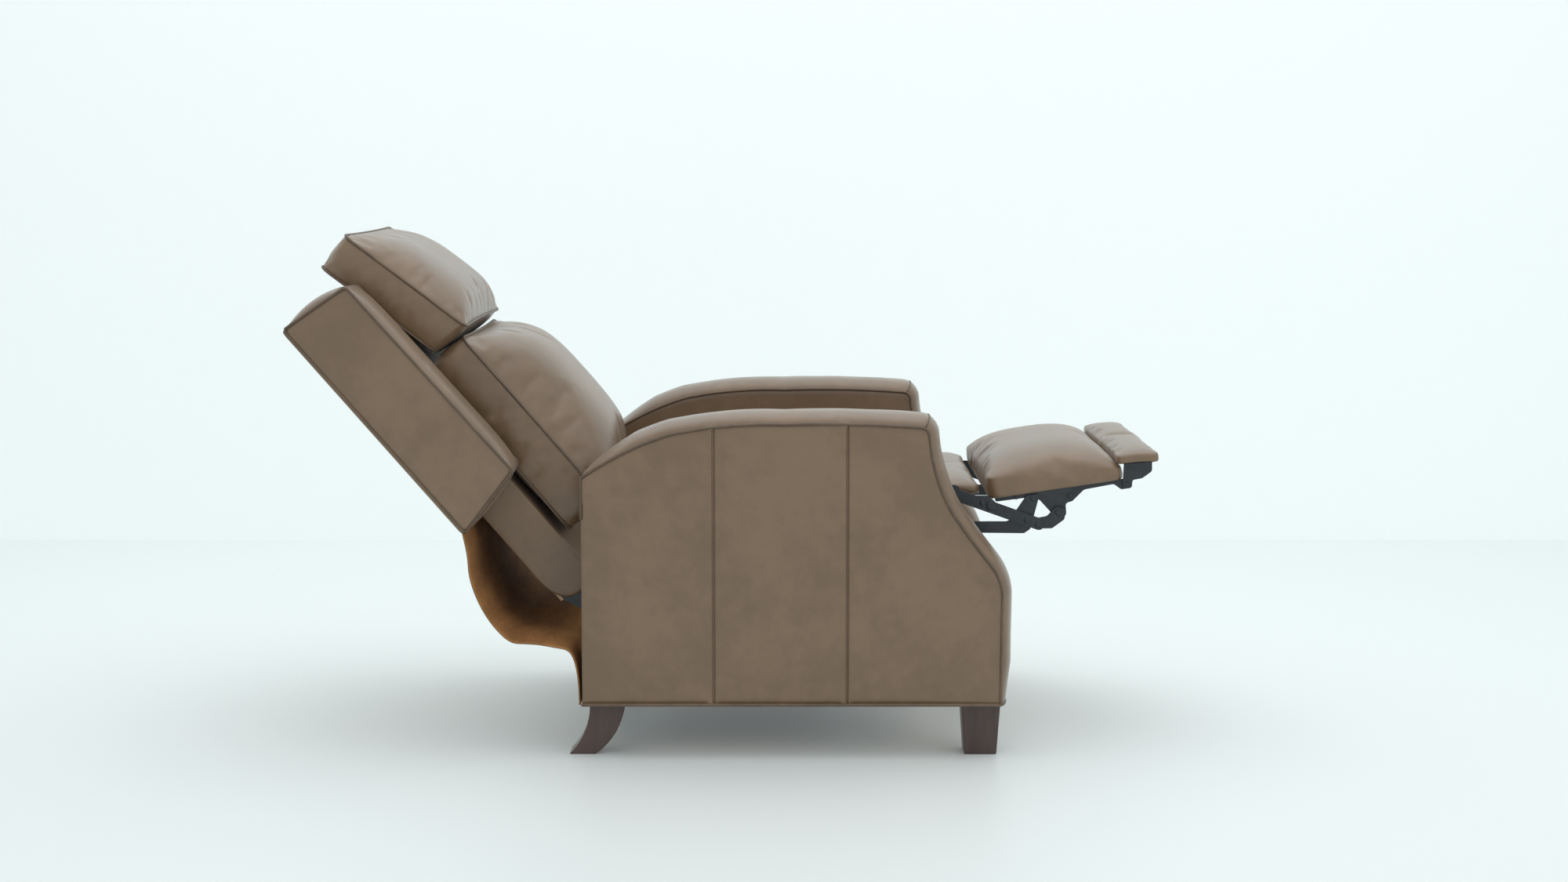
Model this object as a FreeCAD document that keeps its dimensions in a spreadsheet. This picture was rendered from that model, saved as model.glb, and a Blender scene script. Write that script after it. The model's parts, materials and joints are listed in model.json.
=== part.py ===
import FreeCAD, Part
import math
import os
from types import SimpleNamespace

# Push-back recliner armchair, in millimetres, drawn with the back down and the footrest out.
# X runs across the chair, the chair faces -Y, and +Z is up from the floor.
# Side outlines are written as (ahead, up): "ahead" is the distance in front of the origin.

SIZES = [
    ("overall_width", 800.0, "across the outer faces of the arms"),
    ("arm_width", 127.0, "one padded arm"),
    ("arm_height", 635.0, "floor to the crown of the arm"),
    ("arm_rear", 266.0, "origin to the rear edge of the arm"),
    ("arm_front", 516.0, "origin to the front of the arm at knee height"),
    ("arm_top_front", 366.0, "origin to the front top corner of the arm"),
    ("arm_rear_drop", 117.0, "crown of the arm to the top of its rear edge"),
    ("arm_crown", 21.0, "rounding of the arm's top and front band"),
    ("hem_height", 102.0, "floor to the underside of the upholstery"),
    ("frame_depth", 80.0, "arm frame, measured across the chair"),
    ("frame_post", 28.0, "posts of the arm frame"),
    ("frame_bay", 150.0, "open bay between two posts"),
    ("frame_height", 328.0, "arm frame, bottom to top"),
    ("rail_thickness", 22.0, "front and rear base rails"),
    ("front_rail_height", 92.0, "front base rail"),
    ("rear_rail_height", 68.0, "rear base rail"),
    ("front_rail_ahead", 292.0, "origin to the rear face of the front rail"),
    ("front_leg_foot", 59.0, "front leg at the floor"),
    ("front_leg_head", 72.0, "front leg at the top"),
    ("front_leg_ahead", 460.0, "origin to the middle of the front leg"),
    ("rear_leg_width", 56.0, "rear leg across the chair"),
    ("rear_leg_sweep", 48.0, "how far the rear foot stands behind its top"),
    ("rear_leg_head", 65.0, "rear leg, front to rear at the top"),
    ("rear_leg_foot", 48.0, "rear leg, front to rear at the floor"),
    ("leg_inset", 70.0, "outer face of the arm to the middle of a leg"),
    ("leg_bolt_radius", 4.0, "hanger bolt between leg and frame"),
    ("leg_bolt_length", 80.0, "hanger bolt"),
    ("bolt_radius", 3.0, "bolts of the mechanism and the back"),
    ("bolt_grip", 30.0, "length of those bolts in the wood"),
    ("bolt_head_radius", 6.0, "their heads"),
    ("bolt_head_height", 1.6, "their heads"),
    ("link_thickness", 4.0, "steel plates and links"),
    ("link_gap", 2.0, "space between neighbouring links"),
    ("link_radius", 9.5, "half the width of a link"),
    ("pin_radius", 4.0, "pivot pins"),
    ("pin_clearance", 0.4, "pin to hole"),
    ("pin_head_radius", 7.0, "pin heads"),
    ("pin_head_play", 0.3, "pin head to the link under it"),
    ("tube_radius", 11.0, "cross tubes between the mechanism plates"),
    ("tube_wall", 1.6, "cross tubes"),
    ("front_tube_ahead", 160.0, "front cross tube"),
    ("front_tube_up", 255.0, "front cross tube"),
    ("rear_tube_ahead", -130.0, "rear cross tube"),
    ("rear_tube_up", 165.0, "rear cross tube"),
    ("back_pivot_ahead", -240.0, "recline pivot"),
    ("back_pivot_up", 250.0, "recline pivot"),
    ("back_lean", 40.9, "lean of the reclined back from upright, degrees"),
    ("seat_pivot_ahead", -170.0, "rear pivot of the seat"),
    ("seat_pivot_up", 290.0, "rear pivot of the seat"),
    ("seat_rise", 10.0, "rise of the reclined seat towards its front, degrees"),
    ("seat_length", 538.0, "seat frame, rear pivot to front"),
    ("seat_rear_overhang", 20.0, "seat behind its rear pivot"),
    ("seat_frame_depth", 40.0, "seat rails, top to bottom"),
    ("seat_frame_top", 14.0, "rear pivot to the top of the seat rails"),
    ("seat_rail_width", 32.0, "seat rails, seen from above"),
    ("seat_frame_gap", 27.0, "seat frame to the arm's inner face"),
    ("seat_cushion_gap", 11.0, "seat cushion to the arm's inner face"),
    ("seat_cushion_depth", 92.0, "seat cushion at its border"),
    ("seat_crown", 24.0, "rise of the seat cushion's middle"),
    ("spring_wire", 1.9, "radius of the sinuous spring wire"),
    ("spring_wave", 18.0, "half the straight run of a sinuous spring"),
    ("spring_pitch", 80.0, "one sinuous spring to the next"),
    ("tilt_pivot_ahead", 246.4, "front link of the seat"),
    ("tilt_pivot_up", 274.6, "front link of the seat"),
    ("tilt_lug_ahead", 290.0, "where the front link carries the seat"),
    ("tilt_lug_up", 285.0, "where the front link carries the seat"),
    ("tilt_slot", 2.4, "room round the pin in the seat lug"),
    ("lug_half_top", 30.0, "seat lug at the rail, half"),
    ("lug_half_foot", 14.0, "seat lug at its pin, half"),
    ("rod_crank", 50.0, "recline pivot to the rod's rear pin"),
    ("rod_drop", 45.0, "front link's pivot to the rod's front pin"),
    ("rod_swing", 14.0, "half the swing of the back, degrees"),
    ("tilt_swing", 15.6, "half the swing of the front link, degrees"),
    ("rod_play", 1.2, "room round the rod's front pin"),
    ("wing_lap", 2.0, "wing's inner face outside the arm's inner face"),
    ("wing_inset", 10.0, "wing's outer face inside the arm's outer face"),
    ("wing_rear", 70.5, "recline pivot to the wing's rear face"),
    ("wing_front", 70.0, "recline pivot to the wing's front welt"),
    ("wing_crown", 10.0, "rounding of the wing's front band"),
    ("wing_start", 278.0, "pivot to the wing's rear lower corner, along the back"),
    ("wing_tip", 307.0, "pivot to the wing's front lower corner"),
    ("wing_top", 757.0, "pivot to the top of the wing"),
    ("wing_frame_depth", 38.0, "wooden wing panel, across the chair"),
    ("outer_panel_thickness", 5.0, "outer back panel"),
    ("back_frame_gap", 11.0, "back posts to the arm's inner face"),
    ("back_post_width", 40.0, "back posts, across the chair"),
    ("back_post_depth", 44.0, "back posts, front to rear"),
    ("back_frame_start", 62.0, "pivot to the lower end of the back frame"),
    ("back_frame_end", 735.0, "pivot to the upper end of the back frame"),
    ("back_rail_height", 50.0, "rails of the back frame"),
    ("inner_pad_gap", 5.0, "padded inner back to the arm's inner face"),
    ("inner_pad_depth", 36.0, "padded inner back"),
    ("lumbar_gap", 7.0, "lumbar cushion to the arm's inner face"),
    ("lumbar_start", 152.0, "pivot to the lower end of the lumbar cushion"),
    ("lumbar_length", 398.0, "lumbar cushion, lower to upper border"),
    ("lumbar_rear", 68.0, "pivot to the rear of the lumbar cushion"),
    ("lumbar_border", 75.0, "border of the lumbar cushion"),
    ("lumbar_crown", 102.0, "rise of the lumbar cushion's middle"),
    ("head_gap", 3.0, "head cushion to the arm's inner face"),
    ("head_start", 560.0, "pivot to the lower end of the head cushion"),
    ("head_length", 262.0, "head cushion, lower to upper border"),
    ("head_rear", 88.0, "pivot to the rear of the head cushion at its foot"),
    ("head_border", 68.0, "border of the head cushion"),
    ("head_crown", 80.0, "rise of the head cushion's middle"),
    ("head_tip", 12.0, "head cushion leans back further than the back, degrees"),
    ("cushion_rear_crown", 12.0, "rounding of the cushions' rear"),
    ("flap_inset", 14.0, "leather flap inside the arm's outer face"),
    ("flap_thickness", 2.5, "leather flap"),
    ("drive_pivot_ahead", 410.9, "fixed pivot of the long link"),
    ("drive_pivot_up", 470.3, "fixed pivot of the long link"),
    ("elbow_ahead", 572.0, "long link to jog link"),
    ("elbow_up", 413.0, "long link to jog link"),
    ("cross_pin_ahead", 550.9, "long link to bent link"),
    ("cross_pin_up", 420.5, "long link to bent link"),
    ("bend_ahead", 547.5, "corner of the bent link"),
    ("bend_up", 402.0, "corner of the bent link"),
    ("tail_ahead", 452.0, "rear end of the bent link"),
    ("tail_up", 402.0, "rear end of the bent link"),
    ("rear_pivot_ahead", 363.8, "fixed pivot of the rear link"),
    ("rear_pivot_up", 259.7, "fixed pivot of the rear link"),
    ("footrest_ahead", 491.0, "rear lower edge of the footrest board"),
    ("footrest_up", 460.0, "rear lower edge of the footrest board"),
    ("footrest_rise", 8.6, "rise of the open footrest, degrees"),
    ("footrest_length", 239.0, "footrest pad, rear to front"),
    ("footrest_gap", 11.0, "footrest pad to the arm's inner face"),
    ("footrest_border", 28.0, "footrest pad above its board at the border"),
    ("footrest_crown", 78.0, "footrest pad above its board in the middle"),
    ("board_thickness", 12.0, "plywood boards of the footrest"),
    ("ear_along", 115.8, "footrest bracket, rear end to jog link pin"),
    ("ear_drop", 43.8, "footrest bracket, top to jog link pin"),
    ("top_pin_along", 71.0, "footrest bracket, rear end to bent link end"),
    ("top_pin_drop", 5.7, "footrest bracket, top to bent link end"),
    ("flip_reach", 7.0, "front of the footrest pad to the flip pivot"),
    ("flange_width", 36.0, "flange of the footrest bracket under the board"),
    ("flange_thickness", 3.0, "flange of the footrest bracket"),
    ("flip_drop", 10.0, "footrest bracket, top to flip pivot"),
    ("flip_rise", 4.0, "rise of the open flip pad, degrees"),
    ("flip_height", 38.0, "flip pivot to the underside of the flip board"),
    ("flip_board_thickness", 8.0, "flip board"),
    ("flip_length", 76.0, "flip pad, rear to front"),
    ("flip_crown", 30.0, "flip pad above its board in the middle"),
    ("mid_gap", 35.0, "mid pad to the arm's inner face"),
    ("mid_rear_ahead", 385.0, "rear of the mid pad"),
    ("mid_up", 465.0, "underside of the mid board"),
    ("mid_length", 78.0, "mid pad, rear to front"),
    ("mid_crown", 61.0, "mid pad above its board in the middle"),
    ("mid_bracket_lap", 28.0, "mid bracket under the mid board"),
    ("footrest_spring_radius", 6.5, "footrest tension springs"),
    ("footrest_spring_wire", 1.3, "radius of the wire of the footrest springs"),
    ("footrest_spring_pitch", 3.6, "one turn of the footrest springs"),
]

doc = FreeCAD.newDocument("Recliner")
sheet = doc.addObject("Spreadsheet::Sheet", "Sizes")
for row, (alias, value, meaning) in enumerate(SIZES, start=1):
    sheet.set(f"A{row}", alias)
    sheet.set(f"B{row}", str(value))
    sheet.set(f"C{row}", meaning)
    sheet.setAlias(f"B{row}", alias)
doc.recompute()
size = SimpleNamespace(**{alias: float(sheet.get(alias)) for alias, _, _ in SIZES})

SIDES = (("left", 1), ("right", -1))
ACROSS = FreeCAD.Rotation(FreeCAD.Vector(0, 1, 0), 90)
arm_inner = size.overall_width / 2 - size.arm_width
flip_along = size.footrest_length + size.flip_reach
leg_centre = size.overall_width / 2 - size.leg_inset
nodes = {}


def half_width(gap):
    """Half the width of a piece that stands this far inside the arms."""
    return arm_inner - getattr(size, gap)


def width_cells(gap, trim=0):
    """The full width of such a piece as an expression on the sheet."""
    return f"Sizes.overall_width - 2 * Sizes.arm_width - 2 * Sizes.{gap} - {trim}"


seat_half = half_width("seat_frame_gap")
back_half = half_width("back_frame_gap")
footrest_half = half_width("footrest_gap")
mid_half = half_width("mid_gap")
flap_half = size.overall_width / 2 - size.flap_inset


# ---------------------------------------------------------------- drawing helpers

def place(x=0.0, ahead=0.0, up=0.0, lean=0.0):
    """A placement whose own 'ahead' and 'up' are leant back by lean degrees."""
    turned = FreeCAD.Rotation(FreeCAD.Vector(1, 0, 0), -lean)
    return FreeCAD.Placement(FreeCAD.Vector(x, -ahead, up), turned)


def at(frame, ahead, up):
    """The chair's own (ahead, up) of a point given in a leant frame."""
    point = frame.multVec(FreeCAD.Vector(0, -ahead, up))
    return -point.y, point.z


def flat(point):
    """A side outline's (ahead, up) as a sketch point."""
    return FreeCAD.Vector(-point[0], point[1], 0)


def outline(start, *steps):
    """Edges of a closed outline: a step of one point is a line, of two points an arc."""
    edges = []
    here = start
    for step in steps:
        if len(step) == 1:
            edges.append(Part.LineSegment(flat(here), flat(step[0])))
        else:
            edges.append(Part.Arc(flat(here), flat(step[0]), flat(step[1])))
        here = step[-1]
    if here != start:
        edges.append(Part.LineSegment(flat(here), flat(start)))
    return edges


def rounded(*corners):
    """Edges of a polygon whose corners (ahead, up, radius) are rounded."""
    count = len(corners)
    ends = []
    for index, (ahead, up, radius) in enumerate(corners):
        corner = FreeCAD.Vector(ahead, up, 0)
        before = FreeCAD.Vector(*corners[index - 1][:2], 0) - corner
        after = FreeCAD.Vector(*corners[(index + 1) % count][:2], 0) - corner
        before.normalize()
        after.normalize()
        half = before.getAngle(after) / 2
        reach = radius / math.tan(half)
        middle = before + after
        middle.normalize()
        arc = corner + middle * (radius / math.sin(half) - radius)
        ends.append((corner + before * reach, arc, corner + after * reach, radius))
    edges = []
    for index, (first, arc, last, radius) in enumerate(ends):
        if radius > 0:
            edges.append(Part.Arc(flat(first), flat(arc), flat(last)))
        edges.append(Part.LineSegment(flat(last), flat(ends[(index + 1) % count][0])))
    return edges


def capsule(first, last, radius):
    """Edges of a straight link with round ends."""
    line = FreeCAD.Vector(last[0] - first[0], last[1] - first[1], 0)
    line.normalize()
    side = FreeCAD.Vector(-line.y, line.x, 0) * radius
    start, end = FreeCAD.Vector(*first, 0), FreeCAD.Vector(*last, 0)
    return outline(start + side, (end + side,), (end + line * radius, end - side),
                   (start - side,), (start - line * radius, start + side))


def origin_plane(body, role):
    """One of a body's own origin planes, found by its role."""
    return next(plane for plane in body.Origin.OriginFeatures if plane.Role == role)


def sketch_in(body, name, edges, role="YZ_Plane"):
    """A sketch of these edges on a body's origin plane."""
    sketch = body.newObject("Sketcher::SketchObject", name)
    sketch.AttachmentSupport = (origin_plane(body, role), [""])
    sketch.MapMode = "FlatFace"
    sketch.addGeometry(edges, False)
    return sketch


def add_pad(body, name, edges, length, role="YZ_Plane"):
    """Pad a sketch in a body; length is an expression on the sheet."""
    pad = body.newObject("PartDesign::Pad", f"{name}_pad")
    pad.Profile = sketch_in(body, f"{name}_outline", edges, role)
    pad.setExpression("Length", length)
    return pad


def profile(label, length, edges, frame=None, x=0.0):
    """A body padded along X from a side outline; length is an expression on the sheet."""
    body = doc.addObject("PartDesign::Body", label)
    body.Label = label
    add_pad(body, label, edges, length)
    body.Placement = (frame or place()) * place(x)
    return body


def block(label, x, ahead, up, frame=None):
    """A box from (start, length expression) along X, ahead and up."""
    box = doc.addObject("Part::Box", label)
    box.Label = label
    box.setExpression("Length", x[1])
    box.setExpression("Width", ahead[1])
    box.setExpression("Height", up[1])
    depth = float(doc_value(ahead[1]))
    box.Placement = (frame or place()) * place(x[0], ahead[0] + depth, up[0])
    return box


def doc_value(expression):
    """The number that an expression on the sheet stands for."""
    return sheet.evalExpression(expression)


def rod(label, centre, x_low, x_high, radius, frame=None):
    """A cylinder across the chair from x_low to x_high; radius is an expression."""
    cylinder = doc.addObject("Part::Cylinder", label)
    cylinder.Label = label
    cylinder.setExpression("Radius", radius)
    cylinder.Height = x_high - x_low
    start = FreeCAD.Placement(FreeCAD.Vector(x_low, -centre[0], centre[1]), ACROSS)
    cylinder.Placement = (frame or place()) * start
    return cylinder


def fuse(label, *objects):
    """One solid made of several."""
    joined = doc.addObject("Part::MultiFuse", label)
    joined.Label = label
    joined.Shapes = list(objects)
    return joined


def cut(label, base, *tools):
    """A solid with others taken out of it."""
    result = doc.addObject("Part::Cut", label)
    result.Label = label
    result.Base = base
    result.Tool = tools[0] if len(tools) == 1 else fuse(f"{label}_cutters", *tools)
    return result


def group(label, *objects):
    """Separate solids of one kind kept in one node."""
    compound = doc.addObject("Part::Compound", label)
    compound.Label = label
    compound.Links = list(objects)
    return compound


def keep(name, item):
    """Name a finished sub-part; its Label becomes its file's name."""
    item.Label = name
    nodes[name] = item
    return item


def layer(number):
    """Distance from the chair's middle to the inner face of a steel layer; 0 is the fixed plate."""
    return arm_inner - size.link_thickness - number * (size.link_thickness + size.link_gap)


def span(side, low, high):
    """The same stretch of X on either side of the chair."""
    return (low, high) if side > 0 else (-high, -low)


def layer_start(side, number):
    """The lowest X of a steel layer on one side."""
    inner = layer(number)
    return span(side, inner, inner + size.link_thickness)[0]


def pin(label, side, centre, outer, inner_layer):
    """A pivot pin from |X| = outer through to inner_layer's far face, with its head."""
    face = layer(inner_layer)
    head_outer = face - size.pin_head_play
    head_inner = face - size.link_gap + size.pin_head_play
    shank = rod(f"{label}_shank", centre, *span(side, head_outer, outer), "Sizes.pin_radius")
    head = rod(f"{label}_head", centre, *span(side, head_inner, head_outer), "Sizes.pin_head_radius")
    return [shank, head]


def hole(label, side, centre, number, room="Sizes.pin_clearance"):
    """The cutter of a pin's hole in one steel layer."""
    inner = layer(number)
    low, high = span(side, inner - 1, inner + size.link_thickness + 1)
    return rod(f"{label}_hole", centre, low, high, f"Sizes.pin_radius + {room}")


# ---------------------------------------------------------------- frames of the moving groups

back = place(0, size.back_pivot_ahead, size.back_pivot_up, size.back_lean)
seat = place(0, size.seat_pivot_ahead, size.seat_pivot_up, size.seat_rise)
footrest = place(0, size.footrest_ahead, size.footrest_up, size.footrest_rise)
flip_ahead, flip_up = at(footrest, flip_along, -size.flip_drop)
flip = place(0, flip_ahead, flip_up, size.flip_rise)

back_pivot = (size.back_pivot_ahead, size.back_pivot_up)
seat_pivot = (size.seat_pivot_ahead, size.seat_pivot_up)
tilt_pivot = (size.tilt_pivot_ahead, size.tilt_pivot_up)
tilt_lug = (size.tilt_lug_ahead, size.tilt_lug_up)
drive_pivot = (size.drive_pivot_ahead, size.drive_pivot_up)
elbow = (size.elbow_ahead, size.elbow_up)
cross_pin = (size.cross_pin_ahead, size.cross_pin_up)
bend = (size.bend_ahead, size.bend_up)
tail = (size.tail_ahead, size.tail_up)
rear_pivot = (size.rear_pivot_ahead, size.rear_pivot_up)
ear_pin = at(footrest, size.ear_along, -size.ear_drop)
top_pin = at(footrest, size.top_pin_along, -size.top_pin_drop)
rod_angle = math.radians(size.rod_swing)
rod_rear = (size.back_pivot_ahead + size.rod_crank * math.sin(rod_angle),
            size.back_pivot_up - size.rod_crank * math.cos(rod_angle))
tilt_angle = math.radians(size.tilt_swing)
rod_front = (size.tilt_pivot_ahead + size.rod_drop * math.sin(tilt_angle),
             size.tilt_pivot_up - size.rod_drop * math.cos(tilt_angle))


# ---------------------------------------------------------------- base: arms, rails, legs

arm_bottom = size.hem_height
arm_outline = outline(
    (-size.arm_rear, arm_bottom),
    ((-size.arm_rear, size.arm_height - size.arm_rear_drop),),
    ((-size.arm_rear + 52, size.arm_height - 78), (-size.arm_rear + 116, size.arm_height - 40)),
    ((-size.arm_rear + 205, size.arm_height - 12), (-size.arm_rear + 310, size.arm_height)),
    ((size.arm_top_front - 110, size.arm_height), (size.arm_top_front - 14, size.arm_height - 8)),
    ((size.arm_top_front - 2, size.arm_height - 14), (size.arm_top_front + 6, size.arm_height - 28)),
    ((size.arm_top_front + 37, size.arm_height - 121), (size.arm_top_front + 85, size.arm_height - 217)),
    ((size.arm_front - 24, arm_bottom + 246),),
    ((size.arm_front - 5, arm_bottom + 199), (size.arm_front, arm_bottom + 148)),
    ((size.arm_front - 2, arm_bottom),),
)

frame_rear = -size.arm_rear + 16
frame_front = frame_rear + 5 * size.frame_post + 4 * size.frame_bay
frame_top = arm_bottom + size.frame_height
frame_outline = rounded(
    (frame_rear, arm_bottom, 0), (frame_front, arm_bottom, 0),
    (frame_front, frame_top - 130, 0), (frame_front - 90, frame_top, 0), (frame_rear, frame_top, 0))
frame_rail = 48.0


def frame_windows():
    """The four open bays of an arm frame."""
    edges = []
    for bay in range(4):
        low = frame_rear + size.frame_post + bay * (size.frame_post + size.frame_bay)
        top = frame_top - frame_rail - (90 if bay == 3 else 0)
        bottom = arm_bottom + frame_rail
        edges += rounded((low, bottom, 6), (low + size.frame_bay, bottom, 6),
                         (low + size.frame_bay, top, 6), (low, top, 6))
    return edges


post_step = size.frame_post + size.frame_bay
post_centres = [frame_rear + size.frame_post / 2 + post * post_step for post in range(5)]
plate_bolt_places = [
    (post_centres[0], 290.0), (post_centres[1], 230.0), (post_centres[2], 300.0), (post_centres[3], 300.0),
    (post_centres[4] - size.frame_bay / 2, 330.0)]
leg_bolt_places = [("front", size.front_leg_ahead), ("rear", frame_rear + size.frame_post)]
leg_bolt_low = size.hem_height - size.leg_bolt_length / 2


def leg_bolt(name, side, ahead):
    """A hanger bolt, or the hole that it fits."""
    bolt = doc.addObject("Part::Cylinder", name)
    bolt.setExpression("Radius", "Sizes.leg_bolt_radius")
    bolt.setExpression("Height", "Sizes.leg_bolt_length")
    bolt.Placement = place(side * leg_centre, ahead, leg_bolt_low)
    return bolt


for side_name, side in SIDES:
    x_low = span(side, arm_inner, arm_inner + size.arm_width)[0]
    arm = profile(f"arm_{side_name}_form", "Sizes.arm_width", arm_outline, x=x_low)
    doc.recompute()
    # the rounded band runs over the arm's top and front, not along its rear and underside
    pad = arm.Tip
    boxes = [(f"Edge{number}", edge.BoundBox) for number, edge in enumerate(pad.Shape.Edges, start=1)]
    band = [name for name, box in boxes
            if box.XLength < 0.01 and box.YLength > 1 and box.ZMax > arm_bottom + 1]
    crown = arm.newObject("PartDesign::Fillet", f"arm_{side_name}_crown")
    crown.Base = (pad, band)
    crown.setExpression("Radius", "Sizes.arm_crown")

    frame_low = span(side, arm_inner, arm_inner + size.frame_depth)[0]
    cavity = profile(f"arm_{side_name}_cavity", "Sizes.frame_depth", frame_outline, x=frame_low)
    keep(f"arm_upholstery_{side_name}", cut(f"arm_{side_name}_hollow", arm, cavity))

    frame_body = profile(f"arm_{side_name}_frame_panel", "Sizes.frame_depth",
                         frame_outline + frame_windows(), x=frame_low)
    drills = []
    for number, bolt_place in enumerate(plate_bolt_places):
        low, high = span(side, arm_inner - 1, arm_inner + size.bolt_grip)
        drills.append(rod(f"frame_{side_name}_drill_{number}", bolt_place, low, high, "Sizes.bolt_radius"))
    drills += [leg_bolt(f"frame_{side_name}_{leg_name}_leg_drill", side, leg_ahead)
               for leg_name, leg_ahead in leg_bolt_places]
    keep(f"arm_frame_{side_name}", cut(f"arm_{side_name}_frame", frame_body, *drills))

rail_span = "Sizes.overall_width - 2 * Sizes.arm_width"
rail_bottom = size.hem_height + 2
for end_name, rail_rear in (("front", size.front_rail_ahead), ("rear", -size.arm_rear + 2)):
    keep(f"{end_name}_rail", block(f"{end_name}_rail", (-arm_inner, rail_span),
                                   (rail_rear, "Sizes.rail_thickness"),
                                   (rail_bottom, f"Sizes.{end_name}_rail_height")))

cover_depth = "Sizes.front_rail_ahead + Sizes.rail_thickness + Sizes.arm_rear - 2"
keep("dust_cover", block("dust_cover", (-arm_inner, rail_span), (-size.arm_rear + 2, cover_depth),
                         (size.hem_height + 1, "1")))


leg_bolts = []
for side_name, side in SIDES:
    leg = doc.addObject("Part::Wedge", f"front_leg_{side_name}_block")
    for low_name, high_name, middle, half in (
            ("Xmin", "Xmax", side * leg_centre, "front_leg_foot"),
            ("X2min", "X2max", side * leg_centre, "front_leg_head"),
            ("Zmin", "Zmax", size.front_leg_ahead, "front_leg_foot"),
            ("Z2min", "Z2max", size.front_leg_ahead, "front_leg_head")):
        leg.setExpression(low_name, f"{middle} mm - Sizes.{half} / 2 * 1 mm")
        leg.setExpression(high_name, f"{middle} mm + Sizes.{half} / 2 * 1 mm")
    leg.Ymin = 0
    leg.setExpression("Ymax", "Sizes.hem_height * 1 mm")
    leg.Placement = FreeCAD.Placement(FreeCAD.Vector(), FreeCAD.Rotation(FreeCAD.Vector(1, 0, 0), 90))
    drill = leg_bolt(f"front_leg_{side_name}_drill", side, leg_bolt_places[0][1])
    keep(f"front_leg_{side_name}", cut(f"front_leg_{side_name}_drilled", leg, drill))

    top_rear = -size.arm_rear + 10
    foot_rear = top_rear - size.rear_leg_sweep + 10
    sabre = outline(
        (top_rear, size.hem_height),
        ((top_rear - 8, size.hem_height * 0.45), (foot_rear, 0)),
        ((foot_rear + size.rear_leg_foot, 0),),
        ((top_rear + size.rear_leg_head - 16, size.hem_height * 0.42),
         (top_rear + size.rear_leg_head, size.hem_height)))
    leg_low = side * leg_centre - size.rear_leg_width / 2
    leg = profile(f"rear_leg_{side_name}_block", "Sizes.rear_leg_width", sabre, x=leg_low)
    drill = leg_bolt(f"rear_leg_{side_name}_drill", side, leg_bolt_places[1][1])
    keep(f"rear_leg_{side_name}", cut(f"rear_leg_{side_name}_drilled", leg, drill))
    leg_bolts += [leg_bolt(f"{leg_name}_leg_bolt_{side_name}", side, leg_ahead)
                  for leg_name, leg_ahead in leg_bolt_places]
keep("leg_bolts", group("leg_bolts", *leg_bolts))


# ---------------------------------------------------------------- fixed mechanism plates

front_tube = (size.front_tube_ahead, size.front_tube_up)
rear_tube = (size.rear_tube_ahead, size.rear_tube_up)
plate_outline = rounded(
    (back_pivot[0] - 18, back_pivot[1] - 18, 10), (rear_tube[0] - 25, rear_tube[1] - 20, 10),
    (rear_tube[0] + 25, rear_tube[1] - 20, 10), (rear_tube[0] + 70, rear_tube[1] + 40, 30),
    (rear_pivot[0] - 30, front_tube[1] - 40, 20), (rear_pivot[0] + 18, rear_pivot[1] - 22, 12),
    (rear_pivot[0] + 26, rear_pivot[1] + 30, 30), (drive_pivot[0] - 6, drive_pivot[1] - 60, 60),
    (drive_pivot[0] + 17, drive_pivot[1] - 16, 12), (drive_pivot[0] + 13, drive_pivot[1] + 17, 12),
    (drive_pivot[0] - 20, drive_pivot[1] + 17, 12), (drive_pivot[0] - 110, drive_pivot[1] - 100, 60),
    (tilt_pivot[0], tilt_pivot[1] + 48, 40), (seat_pivot[0] + 40, seat_pivot[1] + 22, 30),
    (seat_pivot[0] - 16, seat_pivot[1] + 22, 12), (back_pivot[0] - 18, back_pivot[1] + 18, 12))
tubes = []
plate_bolts = []
for side_name, side in SIDES:
    plate_low = layer_start(side, 0)
    plate = profile(f"mechanism_plate_{side_name}_blank", "Sizes.link_thickness", plate_outline,
                    x=plate_low)
    drills = []
    for number, bolt_place in enumerate(plate_bolt_places):
        low, high = span(side, layer(0) - 1, arm_inner + 1)
        drills.append(rod(f"plate_{side_name}_drill_{number}", bolt_place, low, high, "Sizes.bolt_radius"))
        shank = rod(f"plate_bolt_{side_name}_{number}_shank", bolt_place,
                    *span(side, layer(0), arm_inner + size.bolt_grip), "Sizes.bolt_radius")
        head = rod(f"plate_bolt_{side_name}_{number}_head", bolt_place,
                   *span(side, layer(0) - size.bolt_head_height, layer(0)), "Sizes.bolt_head_radius")
        plate_bolts.append(fuse(f"plate_bolt_{side_name}_{number}", shank, head))
    drilled = cut(f"mechanism_plate_{side_name}_drilled", plate, *drills)
    pins = (pin(f"back_pin_{side_name}", side, back_pivot, layer(0), 1)
            + pin(f"tilt_pin_{side_name}", side, tilt_pivot, layer(0), 1)
            + pin(f"drive_pin_{side_name}", side, drive_pivot, layer(0), 1)
            + pin(f"rear_pin_{side_name}", side, rear_pivot, layer(0), 3))
    low, high = span(side, seat_half - size.seat_rail_width + 6, layer(0))
    pins.append(rod(f"seat_pin_{side_name}", seat_pivot, low, high, "Sizes.pin_radius"))
    keep(f"mechanism_plate_{side_name}", fuse(f"mechanism_plate_{side_name}_pinned", drilled, *pins))
for tube_name, centre in (("front", front_tube), ("rear", rear_tube)):
    solid = rod(f"{tube_name}_tube_solid", centre, -layer(0), layer(0), "Sizes.tube_radius")
    bore = rod(f"{tube_name}_tube_bore", centre, -layer(0) - 1, layer(0) + 1,
               "Sizes.tube_radius - Sizes.tube_wall")
    tubes.append(cut(f"{tube_name}_tube", solid, bore))
keep("cross_tubes", group("cross_tubes", *tubes))
keep("plate_bolts", group("plate_bolts", *plate_bolts))


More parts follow.
